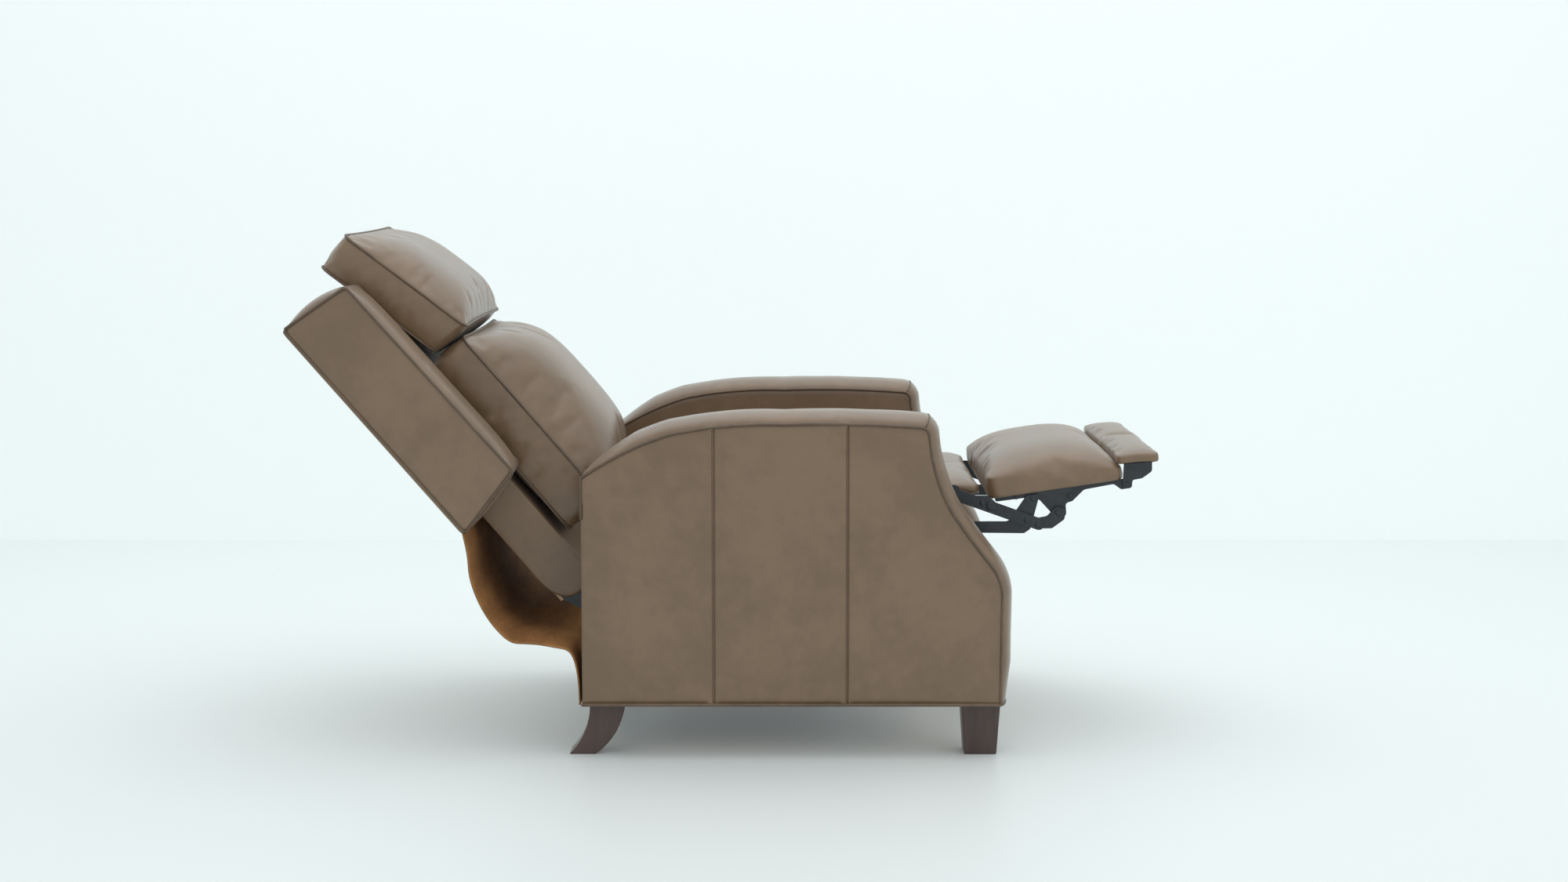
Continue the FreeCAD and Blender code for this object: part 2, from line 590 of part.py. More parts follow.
# ---------------------------------------------------------------- seat

seat_total = "Sizes.seat_length + Sizes.seat_rear_overhang"
rail_low = size.seat_frame_top - size.seat_frame_depth
side_rails = []
for side_name, side in SIDES:
    low = span(side, seat_half - size.seat_rail_width, seat_half)[0]
    rail = block(f"seat_rail_{side_name}", (low, "Sizes.seat_rail_width"),
                 (-size.seat_rear_overhang, seat_total), (rail_low, "Sizes.seat_frame_depth"), seat)
    pin_low, pin_high = span(side, seat_half - size.seat_rail_width + 6, seat_half + 1)
    drill = rod(f"seat_rail_{side_name}_drill", seat_pivot, pin_low, pin_high,
                "Sizes.pin_radius + Sizes.pin_clearance")
    side_rails.append(cut(f"seat_rail_{side_name}_drilled", rail, drill))
keep("seat_side_rails", group("seat_side_rails", *side_rails))

cross_low = -seat_half + size.seat_rail_width
cross_span = width_cells("seat_frame_gap", "2 * Sizes.seat_rail_width")
cross_rails = [
    block(f"seat_{name}_rail", (cross_low, cross_span), (start, "Sizes.seat_rail_width"),
          (rail_low, "Sizes.seat_frame_depth"), seat)
    for name, start in (("rear", -size.seat_rear_overhang),
                        ("front", size.seat_length - size.seat_rail_width))]
keep("seat_cross_rails", group("seat_cross_rails", *cross_rails))


def sinuous_spring(x_middle, start, end, level, waves):
    """One zigzag spring: straight runs across, joined by half rings."""
    half_wave = size.spring_wave
    pitch = (end - start) / waves
    edges = []
    side = 1
    for wave in range(waves):
        ahead = start + (wave + 0.5) * pitch
        first = FreeCAD.Vector(x_middle - side * half_wave, -ahead, level)
        last = FreeCAD.Vector(x_middle + side * half_wave, -ahead, level)
        edges.append(Part.LineSegment(first, last).toShape())
        if wave < waves - 1:
            turn = FreeCAD.Vector(x_middle + side * (half_wave + pitch / 2), -ahead - pitch / 2, level)
            after = FreeCAD.Vector(x_middle + side * half_wave, -ahead - pitch, level)
            edges.append(Part.Arc(last, turn, after).toShape())
        side = -side
    start_point = edges[0].Vertexes[0].Point
    along = edges[0].tangentAt(edges[0].FirstParameter)
    ring = Part.Wire(Part.makeCircle(size.spring_wire, start_point, along))
    return Part.Wire(edges).makePipeShell([ring], True, False)


def spring_group(name, start, end, level, frame, waves):
    """Five springs side by side, from start to end at one level."""
    feature = doc.addObject("Part::Feature", name)
    feature.Shape = Part.makeCompound([
        sinuous_spring(number * size.spring_pitch, start, end, level, waves) for number in range(-2, 3)])
    feature.Placement = frame
    return keep(name, feature)


spring_group("seat_springs", -size.seat_rear_overhang + size.seat_rail_width + 2,
             size.seat_length - size.seat_rail_width - 2,
             size.seat_frame_top - size.spring_wire - 3, seat, 19)

cushion_low = size.seat_frame_top + 0.4
cushion_top = size.seat_frame_top + size.seat_cushion_depth
cushion_rear = -size.seat_rear_overhang
cushion_front = size.seat_length - 3
seat_side = outline(
    (cushion_rear, cushion_low), ((cushion_front, cushion_low),),
    ((cushion_front + 16, cushion_low + 46), (cushion_front + 14, cushion_top)),
    (((cushion_front + cushion_rear) / 2, cushion_top + size.seat_crown), (cushion_rear, cushion_top)))
keep("seat_cushion", profile("seat_cushion_side", width_cells("seat_cushion_gap"), seat_side, seat,
                             -half_width("seat_cushion_gap")))

lugs = []
lug_centre = seat.inverse().multVec(FreeCAD.Vector(0, -tilt_lug[0], tilt_lug[1]))
lug_along = -lug_centre.y
lug_foot = lug_centre.z - size.lug_half_foot
for side_name, side in SIDES:
    low = span(side, seat_half, seat_half + size.link_thickness)[0]
    lug_outline = rounded(
        (lug_along - size.lug_half_top, -4, 4), (lug_along + size.lug_half_top, -4, 4),
        (lug_along + size.lug_half_foot, lug_foot, 13), (lug_along - size.lug_half_foot, lug_foot, 13))
    lug = profile(f"seat_lug_{side_name}_blank", "Sizes.link_thickness", lug_outline, seat, low)
    slot_low, slot_high = span(side, seat_half - 1, seat_half + size.link_thickness + 1)
    slot = rod(f"seat_lug_{side_name}_slot", tilt_lug, slot_low, slot_high,
               "Sizes.pin_radius + Sizes.tilt_slot")
    lugs.append(cut(f"seat_lug_{side_name}", lug, slot))
keep("seat_lugs", group("seat_lugs", *lugs))


# ---------------------------------------------------------------- recline links

for side_name, side in SIDES:
    low = layer_start(side, 1)
    tilt = doc.addObject("PartDesign::Body", f"tilt_link_{side_name}_blank")
    for arm_name, arm_end in (("upper", tilt_lug), ("lower", rod_front)):
        add_pad(tilt, f"tilt_link_{side_name}_{arm_name}", capsule(tilt_pivot, arm_end, size.link_radius),
                "Sizes.link_thickness")
    tilt.Placement = place(low)
    drilled = cut(f"tilt_link_{side_name}_drilled", tilt, hole(f"tilt_{side_name}", side, tilt_pivot, 1))
    carry_low, carry_high = span(side, seat_half, layer(1))
    carrier = rod(f"tilt_carrier_{side_name}", tilt_lug, carry_low, carry_high, "Sizes.pin_radius")
    pins = pin(f"rod_front_pin_{side_name}", side, rod_front, layer(1), 2) + [carrier]
    keep(f"tilt_link_{side_name}", fuse(f"tilt_link_{side_name}_pinned", drilled, *pins))

    bar = profile(f"recline_rod_{side_name}_blank", "Sizes.link_thickness",
                  capsule(rod_rear, rod_front, size.link_radius - 1.5), x=layer_start(side, 2))
    keep(f"recline_rod_{side_name}", cut(
        f"recline_rod_{side_name}_drilled", bar, hole(f"rod_rear_{side_name}", side, rod_rear, 2),
        hole(f"rod_front_{side_name}", side, rod_front, 2, "Sizes.rod_play")))


# ---------------------------------------------------------------- back

post_gap = 1.0
post_rear = -size.back_post_depth - post_gap
back_span = "Sizes.back_frame_end - Sizes.back_frame_start"
post_starts = [(name, span(side, back_half - size.back_post_width, back_half)[0]) for name, side in SIDES]
posts = [block(f"back_post_{name}", (start, "Sizes.back_post_width"), (post_rear, "Sizes.back_post_depth"),
               (size.back_frame_start, back_span), back)
         for name, start in post_starts]
back_rail_low = -back_half + size.back_post_width
back_rail_span = width_cells("back_frame_gap", "2 * Sizes.back_post_width")
rail_levels = (size.back_frame_start, size.back_frame_start + 280,
               size.back_frame_end - size.back_rail_height)
rails = [block(f"back_rail_{number}", (back_rail_low, back_rail_span),
               (post_rear, "Sizes.back_post_depth"), (level, "Sizes.back_rail_height"), back)
         for number, level in enumerate(rail_levels)]
keep("back_rails", group("back_rails", *rails))

back_spring_level = -post_gap - 6
upright = FreeCAD.Placement(FreeCAD.Vector(0, -back_spring_level, 0),
                            FreeCAD.Rotation(FreeCAD.Vector(1, 0, 0), -90))
spring_group("back_springs", rail_levels[0] + size.back_rail_height + 2, rail_levels[1] - 2, 0,
             back * upright, 8)

back_bolts = []
drilled_posts = []
for (side_name, side), post in zip(SIDES, posts):
    low = layer_start(side, 1)
    shank_outline = rounded((-38, 55, 6), (-8, 45, 6), (-8, 185, 8), (-38, 185, 8))
    bracket = doc.addObject("PartDesign::Body", f"back_bracket_{side_name}_blank")
    add_pad(bracket, f"back_bracket_{side_name}_neck", capsule(back_pivot, at(back, -23.0, 66.0), 15.0),
            "Sizes.link_thickness")
    add_pad(bracket, f"back_bracket_{side_name}_crank", capsule(back_pivot, rod_rear, 11.0),
            "Sizes.link_thickness")
    bracket.Placement = place(low)
    shank = profile(f"back_bracket_{side_name}_shank", "Sizes.link_thickness", shank_outline, back, low)
    joined = fuse(f"back_bracket_{side_name}_joined", bracket, shank)
    cutters = [hole(f"back_pivot_{side_name}", side, back_pivot, 1)]
    post_cutters = []
    for number, level in enumerate((100.0, 165.0)):
        centre = at(back, -23.0, level)
        cutters.append(rod(f"bracket_{side_name}_drill_{number}", centre,
                           *span(side, layer(1) - 1, layer(0)), "Sizes.bolt_radius"))
        post_cutters.append(rod(f"post_{side_name}_drill_{number}", centre,
                                *span(side, back_half - size.bolt_grip, back_half + 1),
                                "Sizes.bolt_radius"))
        shank_pin = rod(f"back_bolt_{side_name}_{number}_shank", centre,
                        *span(side, back_half - size.bolt_grip, layer(1) + size.link_thickness),
                        "Sizes.bolt_radius")
        head_outer = layer(1) + size.link_thickness
        head = rod(f"back_bolt_{side_name}_{number}_head", centre,
                   *span(side, head_outer, head_outer + size.bolt_head_height), "Sizes.bolt_head_radius")
        back_bolts.append(fuse(f"back_bolt_{side_name}_{number}", shank_pin, head))
    drilled = cut(f"back_bracket_{side_name}_drilled", joined, *cutters)
    crank_pin = pin(f"rod_rear_pin_{side_name}", side, rod_rear, layer(1), 2)
    keep(f"back_bracket_{side_name}", fuse(f"back_bracket_{side_name}_pinned", drilled, *crank_pin))
    drilled_posts.append(cut(f"back_post_{side_name}_drilled", post, *post_cutters))
keep("back_posts", group("back_posts", *drilled_posts))
keep("back_bolts", group("back_bolts", *back_bolts))

wing_outer = size.overall_width / 2 - size.wing_inset
wing_inner = arm_inner + size.wing_lap
wing_thickness = "Sizes.arm_width - Sizes.wing_inset - Sizes.wing_lap"
front_top = size.wing_top - 19
wing_outline = outline(
    (-size.wing_rear, size.wing_start), ((size.wing_front, size.wing_tip),),
    ((size.wing_front + size.wing_crown - 5, (size.wing_tip + front_top) / 2),
     (size.wing_front - 9, front_top)),
    ((-size.wing_rear, size.wing_top),))
panel_rear, panel_front = -size.back_post_depth - post_gap, -5.0
panel_low, panel_high = size.wing_tip + 15, front_top - 30
wing_panel = rounded((panel_rear, panel_low, 0), (panel_front, panel_low, 0),
                     (panel_front, panel_high, 0), (panel_rear, panel_high, 0))
for side_name, side in SIDES:
    wing = profile(f"wing_{side_name}_form", wing_thickness, wing_outline, back,
                   span(side, wing_inner, wing_outer)[0])
    panel_span = span(side, back_half, back_half + size.wing_frame_depth)
    cavity = profile(f"wing_{side_name}_cavity", "Sizes.wing_frame_depth", wing_panel, back, panel_span[0])
    keep(f"wing_{side_name}", cut(f"wing_{side_name}_hollow", wing, cavity))
    keep(f"wing_frame_{side_name}", profile(f"wing_frame_{side_name}", "Sizes.wing_frame_depth", wing_panel,
                                            back, panel_span[0]))

outer_span = "Sizes.overall_width - 2 * Sizes.wing_inset"
outer_rear = -size.wing_rear - size.outer_panel_thickness
keep("outer_back_panel", block(
    "outer_back_panel", (-wing_outer, outer_span), (outer_rear, "Sizes.outer_panel_thickness"),
    (size.wing_start, "Sizes.wing_top - Sizes.wing_start"), back))

upper_pad = size.inner_pad_depth - 14
pad_outline = rounded(
    (0, size.back_frame_start - 5, 3), (size.inner_pad_depth, size.back_frame_start - 5, 12),
    (size.inner_pad_depth, size.head_start - 30, 8), (upper_pad, size.head_start - 10, 8),
    (upper_pad, size.back_frame_end + 3, 8), (0, size.back_frame_end + 3, 3))
keep("inner_back_pad", profile("inner_back_pad", width_cells("inner_pad_gap"), pad_outline, back,
                               -half_width("inner_pad_gap")))


def crowned_cushion(label, gap, border, length, crown, frame, length_alias):
    """A cushion that bulges at its front both across and along: two rounded prisms in common."""
    rear = -size.cushion_rear_crown
    side_edges = outline((0, 0), ((border, 0),), ((border + crown, length / 2), (border, length)),
                         ((0, length),), ((rear, length / 2), (0, 0)))
    reach = half_width(gap)
    side_form = profile(f"{label}_side_form", width_cells(gap), side_edges, None, -reach)
    plan_form = doc.addObject("PartDesign::Body", f"{label}_plan_form")
    corners = [FreeCAD.Vector(-reach, 0, 0), FreeCAD.Vector(-reach, -border, 0),
               FreeCAD.Vector(0, -border - crown, 0), FreeCAD.Vector(reach, -border, 0),
               FreeCAD.Vector(reach, 0, 0), FreeCAD.Vector(0, -rear, 0)]
    plan_edges = [Part.LineSegment(corners[0], corners[1]), Part.Arc(corners[1], corners[2], corners[3]),
                  Part.LineSegment(corners[3], corners[4]), Part.Arc(corners[4], corners[5], corners[0])]
    add_pad(plan_form, f"{label}_plan", plan_edges, f"Sizes.{length_alias}", "XY_Plane")
    cushion = doc.addObject("Part::Common", label)
    cushion.Base = side_form
    cushion.Tool = plan_form
    cushion.Placement = frame
    return keep(label, cushion)


crowned_cushion("lumbar_cushion", "lumbar_gap", size.lumbar_border, size.lumbar_length, size.lumbar_crown,
                back * place(0, size.lumbar_rear, size.lumbar_start), "lumbar_length")
crowned_cushion("head_cushion", "head_gap", size.head_border, size.head_length, size.head_crown,
                back * place(0, size.head_rear, size.head_start, size.head_tip), "head_length")


# ---------------------------------------------------------------- leather flap, back to base

flap_top = at(back, -size.wing_rear - size.outer_panel_thickness / 2, size.wing_start - 4)
flap_foot = (-size.arm_rear - 7, size.hem_height + 2)
flap_knee = (flap_top[0] + 9, flap_top[1] - 76)
flap_belly = (flap_foot[0] - 112, flap_foot[1] + 112)
flap_shelf = (flap_foot[0] - 27, flap_foot[1] + 101)
flap_hip = (flap_foot[0] - 3, flap_foot[1] + 58)
flap_path = [
    Part.LineSegment(flat(flap_top), flat(flap_knee)),
    Part.Arc(flat(flap_knee), flat((flap_knee[0] + 21, flap_knee[1] - 68)), flat(flap_belly)),
    Part.LineSegment(flat(flap_belly), flat(flap_shelf)),
    Part.Arc(flat(flap_shelf), flat((flap_foot[0] - 8, flap_foot[1] + 86)), flat(flap_hip)),
    Part.LineSegment(flat(flap_hip), flat(flap_foot))]
flap_wire = Part.Wire([edge.toShape() for edge in flap_path])
flap_face = Part.Face(flap_wire.makeOffset2D(size.flap_thickness / 2, 2, False, False))
flap = doc.addObject("Part::Feature", "back_flap")
flap.Shape = flap_face.extrude(FreeCAD.Vector(0, 0, 2 * flap_half))
standing = FreeCAD.Placement(FreeCAD.Vector(-flap_half, 0, 0),
                             FreeCAD.Rotation(FreeCAD.Vector(1, 1, 1), 120))
flap.Placement = standing
keep("back_flap", flap)


# ---------------------------------------------------------------- footrest links

for side_name, side in SIDES:
    long_link = doc.addObject("PartDesign::Body", f"long_link_{side_name}_blank")
    add_pad(long_link, f"long_link_{side_name}_bar", capsule(drive_pivot, elbow, size.link_radius + 1.5),
            "Sizes.link_thickness")
    root, crest = drive_pivot
    cheek = rounded((root + 14, crest - 10, 4), (root + 30, crest - 4, 6), (root + 68, crest - 4, 10),
                    (root + 84, crest - 20, 8), (root + 78, crest - 30, 3), (root + 20, crest - 12, 3))
    add_pad(long_link, f"long_link_{side_name}_cheek", cheek, "Sizes.link_thickness")
    long_link.Placement = place(layer_start(side, 1))
    drive_hole = hole(f"drive_{side_name}", side, drive_pivot, 1)
    drilled = cut(f"long_link_{side_name}_drilled", long_link, drive_hole)
    pins = (pin(f"elbow_pin_{side_name}", side, elbow, layer(1), 2)
            + pin(f"cross_pin_{side_name}", side, cross_pin, layer(1), 2))
    keep(f"long_link_{side_name}", fuse(f"long_link_{side_name}_pinned", drilled, *pins))

    hook = rounded((elbow[0] - 9, elbow[1] - 9, 8), (elbow[0] + 25, elbow[1] - 9, 12),
                   (ear_pin[0] + 8, ear_pin[1] - 13, 8), (ear_pin[0] + 11, ear_pin[1] + 8, 8),
                   (ear_pin[0] - 8, ear_pin[1] + 11, 8), (ear_pin[0] - 24, ear_pin[1] - 7, 10),
                   (elbow[0] - 9, elbow[1] + 9, 8))
    jog = profile(f"jog_link_{side_name}_blank", "Sizes.link_thickness", hook, x=layer_start(side, 2))
    drilled = cut(f"jog_link_{side_name}_drilled", jog, hole(f"elbow_{side_name}", side, elbow, 2))
    if side > 0:
        drilled = fuse(f"jog_link_{side_name}_pinned", drilled, *pin("ear_pin", side, ear_pin, layer(2), 3))
    keep(f"jog_link_{side_name}", drilled)

    elbowed = rounded(
        (tail[0] - 12, tail[1] - 6, 8), (bend[0] - 2, tail[1] - 7, 8), (bend[0] + 9.5, tail[1] + 1, 8),
        (top_pin[0] + 12, top_pin[1] + 4, 5), (top_pin[0] - 13, top_pin[1] + 0.4, 5),
        (bend[0] - 31, tail[1] + 15, 12), (tail[0] - 12, tail[1] + 15, 8))
    bent = profile(f"bent_link_{side_name}_blank", "Sizes.link_thickness", elbowed, x=layer_start(side, 2))
    keep(f"bent_link_{side_name}", cut(f"bent_link_{side_name}_drilled", bent,
                                       hole(f"cross_{side_name}", side, cross_pin, 2)))

    rear = profile(f"rear_link_{side_name}_blank", "Sizes.link_thickness",
                   capsule(rear_pivot, tail, size.link_radius), x=layer_start(side, 3))
    keep(f"rear_link_{side_name}", cut(f"rear_link_{side_name}_drilled", rear,
                                       hole(f"rear_{side_name}", side, rear_pivot, 3)))


# ---------------------------------------------------------------- footrest, flip pad and mid pad

web_outline = rounded(
    (0, 0, 3), (flip_along + 8, 0, 3), (flip_along + 8, -size.flip_drop - 9, 7),
    (flip_along - 12, -size.flip_drop - 9, 7), (flip_along - 24, -7, 8), (size.ear_along + 50, -9, 12),
    (size.ear_along + 26, -27, 6), (size.ear_along + 13, -29, 6),
    (size.ear_along + 11, -size.ear_drop - 11, 9), (size.ear_along - 11, -size.ear_drop - 11, 9),
    (size.ear_along - 18, -size.ear_drop + 4, 10), (size.top_pin_along + 10, -15, 10),
    (size.top_pin_along - 14, -8, 12), (0, -7, 4))
flange_low = -size.flange_thickness
flange_front = size.footrest_length - 15
for side_name, side in SIDES:
    web = profile(f"footrest_bracket_{side_name}_web", "Sizes.link_thickness", web_outline, footrest,
                  layer_start(side, 3))
    flange_start = span(side, layer(3) - size.flange_width, layer(3))[0]
    flange_outline = outline((12, 0), ((12, flange_low),), ((flange_front, flange_low),),
                             ((flange_front, 0),))
    flange = profile(f"footrest_bracket_{side_name}_flange", "Sizes.flange_width", flange_outline, footrest,
                     flange_start)
    joined = fuse(f"footrest_bracket_{side_name}_joined", web, flange)
    ear_room = "Sizes.pin_clearance" if side > 0 else "4 * Sizes.pin_clearance"
    drilled = cut(f"footrest_bracket_{side_name}_drilled", joined,
                  hole(f"ear_{side_name}", side, ear_pin, 3, ear_room))
    low, high = span(side, layer(3) + size.link_thickness, layer(2) + size.link_thickness + size.link_gap / 2)
    flip_pin = rod(f"flip_pin_{side_name}", (flip_ahead, flip_up), low, high, "Sizes.pin_radius")
    keep(f"footrest_bracket_{side_name}", fuse(f"footrest_bracket_{side_name}_pinned", drilled, flip_pin))

keep("footrest_board", block(
    "footrest_board", (-footrest_half + 6, width_cells("footrest_gap", 12)), (-5, "Sizes.footrest_length"),
    (0, "Sizes.board_thickness"), footrest))
board_top = size.board_thickness
footrest_pad_side = outline(
    (-9, board_top), ((-9, board_top + size.footrest_border),),
    ((size.footrest_length * 0.44, board_top + size.footrest_crown),
     (size.footrest_length - 18, board_top + 34)),
    ((size.footrest_length, board_top + 14),), ((size.footrest_length, board_top),))
keep("footrest_pad", profile("footrest_pad", width_cells("footrest_gap"), footrest_pad_side, footrest,
                             -footrest_half))

flip_board_bottom = size.flip_height
flip_board_top = flip_board_bottom + size.flip_board_thickness
flip_arms = []
for side_name, side in SIDES:
    arm_shape = rounded((-8, -8, 6), (8, -8, 6), (10, 7, 4), (28, 9, 10), (47, 21, 8),
                        (48, flip_board_bottom, 0), (-4, flip_board_bottom, 0), (-8, 4, 6))
    flip_arm = profile(f"flip_bracket_{side_name}_blank", "Sizes.link_thickness", arm_shape, flip,
                       layer_start(side, 2))
    flip_hole = hole(f"flip_{side_name}", side, (flip_ahead, flip_up), 2)
    flip_arms.append(cut(f"flip_bracket_{side_name}", flip_arm, flip_hole))
keep("flip_brackets", group("flip_brackets", *flip_arms))
keep("flip_board", block("flip_board", (-footrest_half + 2, width_cells("footrest_gap", 4)),
                         (-6, "Sizes.flip_length - 18"),
                         (flip_board_bottom, "Sizes.flip_board_thickness"), flip))
flip_rear = -14.0
flip_side = outline(
    (flip_rear + 2, flip_board_top), ((flip_rear, flip_board_top + 12),),
    ((flip_rear + size.flip_length / 2, flip_board_top + size.flip_crown),
     (flip_rear + size.flip_length, flip_board_top + 15)),
    ((flip_rear + size.flip_length - 8, flip_board_top),))
keep("flip_pad", profile("flip_pad", width_cells("footrest_gap"), flip_side, flip, -footrest_half))

middle = place(0, size.mid_rear_ahead, size.mid_up)
keep("mid_board", block("mid_board", (-mid_half + 4, width_cells("mid_gap", 8)),
                        (3, "Sizes.mid_length - 6"), (0, "Sizes.board_thickness"), middle))
mid_side = outline(
    (0, board_top), ((0, board_top + 42),),
    ((size.mid_length / 2, board_top + size.mid_crown), (size.mid_length - 8, board_top + 40)),
    ((size.mid_length + 2, board_top + 20), (size.mid_length - 4, board_top)))
keep("mid_pad", profile("mid_pad", width_cells("mid_gap"), mid_side, middle, -mid_half))
mid_arms = []
for side_name, side in SIDES:
    bridge_low, bridge_high = span(side, mid_half - size.mid_bracket_lap, layer(1))
    bridge = doc.addObject("Part::Box", f"mid_bracket_{side_name}")
    bridge.Length = bridge_high - bridge_low
    bridge.Width = 22
    bridge.Height = 9
    bridge.Placement = middle * place(bridge_low, 58, -9)
    mid_arms.append(bridge)
keep("mid_brackets", group("mid_brackets", *mid_arms))


def tension_spring(x, first, last):
    """A close-wound spring between two hooks."""
    radius = size.footrest_spring_radius - size.footrest_spring_wire
    start = FreeCAD.Vector(x, -first[0], first[1])
    end = FreeCAD.Vector(x, -last[0], last[1])
    line = end - start
    length = line.Length
    turns = Part.makeHelix(size.footrest_spring_pitch, length, radius)
    ring = Part.Wire(Part.makeCircle(size.footrest_spring_wire, FreeCAD.Vector(radius, 0, 0),
                                     FreeCAD.Vector(0, 1, 0)))
    coil = Part.Wire(turns.Edges).makePipeShell([ring], True, True)
    coil.Placement = FreeCAD.Placement(start, FreeCAD.Rotation(FreeCAD.Vector(0, 0, 1), line))
    return coil


spring_foot = (size.front_rail_ahead + size.rail_thickness / 2, rail_bottom + size.front_rail_height + 10)
spring_head = ((rear_pivot[0] + tail[0]) / 2, (rear_pivot[1] + tail[1]) / 2)
spring_x = layer(3) - size.footrest_spring_radius - 2
springs = doc.addObject("Part::Feature", "footrest_springs")
springs.Shape = Part.makeCompound([tension_spring(side * spring_x, spring_foot, spring_head)
                                   for side in (1, -1)])
keep("footrest_springs", springs)


# ---------------------------------------------------------------- check and write

doc.recompute()
for item in doc.Objects:
    if any(word in item.State for word in ("Invalid", "Error")):
        raise RuntimeError(f"{item.Label} did not build: {item.State}")
for name, item in nodes.items():
    if item.Shape.isNull() or not item.Shape.isValid() or item.Shape.Volume <= 0:
        raise RuntimeError(f"{name} has no sound solid")
if len(nodes) > 60:
    raise RuntimeError("more than 60 nodes")

os.makedirs("parts", exist_ok=True)
for name, item in nodes.items():
    item.Shape.exportStep(f"parts/{name}.step")
    box = item.Shape.BoundBox
    spans = f"x {box.XMin:7.1f} {box.XMax:7.1f}  y {box.YMin:7.1f} {box.YMax:7.1f}"
    print(f"{name:24s} solids {len(item.Shape.Solids)} volume {item.Shape.Volume / 1000:9.1f} cm3  "
          f"{spans}  z {box.ZMin:7.1f} {box.ZMax:7.1f}")
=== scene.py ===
import json
import logging
import math
from dataclasses import dataclass
from enum import Enum
from typing import ClassVar

import bmesh
import bpy
from mathutils import Matrix, Vector, noise


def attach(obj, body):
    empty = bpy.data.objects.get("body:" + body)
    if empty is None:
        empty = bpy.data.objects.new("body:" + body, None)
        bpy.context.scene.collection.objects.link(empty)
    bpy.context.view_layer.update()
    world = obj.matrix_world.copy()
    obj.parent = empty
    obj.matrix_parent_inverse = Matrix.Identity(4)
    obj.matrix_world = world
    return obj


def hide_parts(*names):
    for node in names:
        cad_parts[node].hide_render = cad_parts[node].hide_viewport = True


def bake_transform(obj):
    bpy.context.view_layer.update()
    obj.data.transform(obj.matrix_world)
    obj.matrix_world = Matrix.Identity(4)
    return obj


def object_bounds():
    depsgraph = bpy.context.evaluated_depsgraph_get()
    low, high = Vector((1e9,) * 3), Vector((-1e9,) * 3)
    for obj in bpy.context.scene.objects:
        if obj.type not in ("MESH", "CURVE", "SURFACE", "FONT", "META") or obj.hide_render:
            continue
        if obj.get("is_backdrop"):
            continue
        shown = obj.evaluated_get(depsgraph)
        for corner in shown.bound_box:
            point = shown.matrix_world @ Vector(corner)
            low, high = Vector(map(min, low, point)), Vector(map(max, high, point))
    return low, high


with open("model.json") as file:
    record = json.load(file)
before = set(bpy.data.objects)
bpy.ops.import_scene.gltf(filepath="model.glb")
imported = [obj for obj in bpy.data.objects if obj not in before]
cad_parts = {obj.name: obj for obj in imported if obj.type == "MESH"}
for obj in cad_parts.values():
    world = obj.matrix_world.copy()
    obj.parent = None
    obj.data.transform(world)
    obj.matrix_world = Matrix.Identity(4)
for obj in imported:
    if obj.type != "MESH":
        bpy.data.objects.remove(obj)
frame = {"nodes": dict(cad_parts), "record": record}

LOG = logging.getLogger("recliner")
MM = 0.001
Point = tuple[float, float]


# ---------------------------------------------------------------- places

@dataclass(frozen=True)
class Plane:
    """A side plane of the chair, leant back by some degrees, with places in millimetres."""

    ahead: float = 0.0
    up: float = 0.0
    lean: float = 0.0

    def at(self, x: float, ahead: float, up: float) -> Vector:
        """The chair's own point, in metres, of a place in this plane.

        Args:
            x: Distance across the chair from its middle.
            ahead: Distance ahead of the plane's origin.
            up: Distance up from the plane's origin.

        Returns:
            The point in the row frame.
        """
        angle = math.radians(self.lean)
        out = self.ahead + ahead * math.cos(angle) - up * math.sin(angle)
        high = self.up + ahead * math.sin(angle) + up * math.cos(angle)
        return Vector((x, -out, high)) * MM

    def inner(self, ahead: float, up: float, lean: float = 0.0) -> "Plane":
        """A further plane placed inside this one.

        Args:
            ahead: Its origin ahead of this plane's origin.
            up: Its origin above this plane's origin.
            lean: How much further it leans back, in degrees.

        Returns:
            The new plane.
        """
        origin = self.at(0.0, ahead, up) / MM
        return Plane(-origin.y, origin.z, self.lean + lean)


CHAIR = Plane()
BACK = Plane(-240.0, 250.0, 40.9)
LYING = CHAIR.inner(-170.0, 290.0, -80.0)
FOOTREST = Plane(491.0, 460.0, 8.6)
FLIP = Plane(735.7, 486.9, 4.0)
MIDDLE = Plane(385.0, 465.0)


class Side(Enum):
    """The two sides of the chair, as the sign of X."""

    LEFT = 1
    RIGHT = -1

    @property
    def label(self) -> str:
        """The side's name as the CAD nodes spell it."""
        return self.name.lower()


def shares(count: int) -> list[float]:
    """Even steps from 0 to 1, both included."""
    return [step / count for step in range(count + 1)]


def arc(first: Point, middle: Point, last: Point, steps: int) -> list[Point]:
    """Points of the circle through three places, without the first one.

    Args:
        first: Where the arc starts.
        middle: A place on the arc.
        last: Where the arc ends.
        steps: Number of points.

    Returns:
        The points, the last one included.
    """
    a, b, c = (Vector((*place, 0.0)) for place in (first, middle, last))
    ab, ac = b - a, c - a
    normal = ab.cross(ac)
    centre = a + (normal.cross(ab) * ac.length_squared + ac.cross(normal) * ab.length_squared) / (
        2 * normal.length_squared)
    turn = normal.normalized()
    radius = a - centre
    total = math.atan2(radius.cross(c - centre).dot(turn), radius.dot(c - centre)) % math.tau
    points = []
    for step in range(1, steps + 1):
        point = centre + Matrix.Rotation(total * step / steps, 3, turn) @ radius
        points.append((point.x, point.y))
    return points


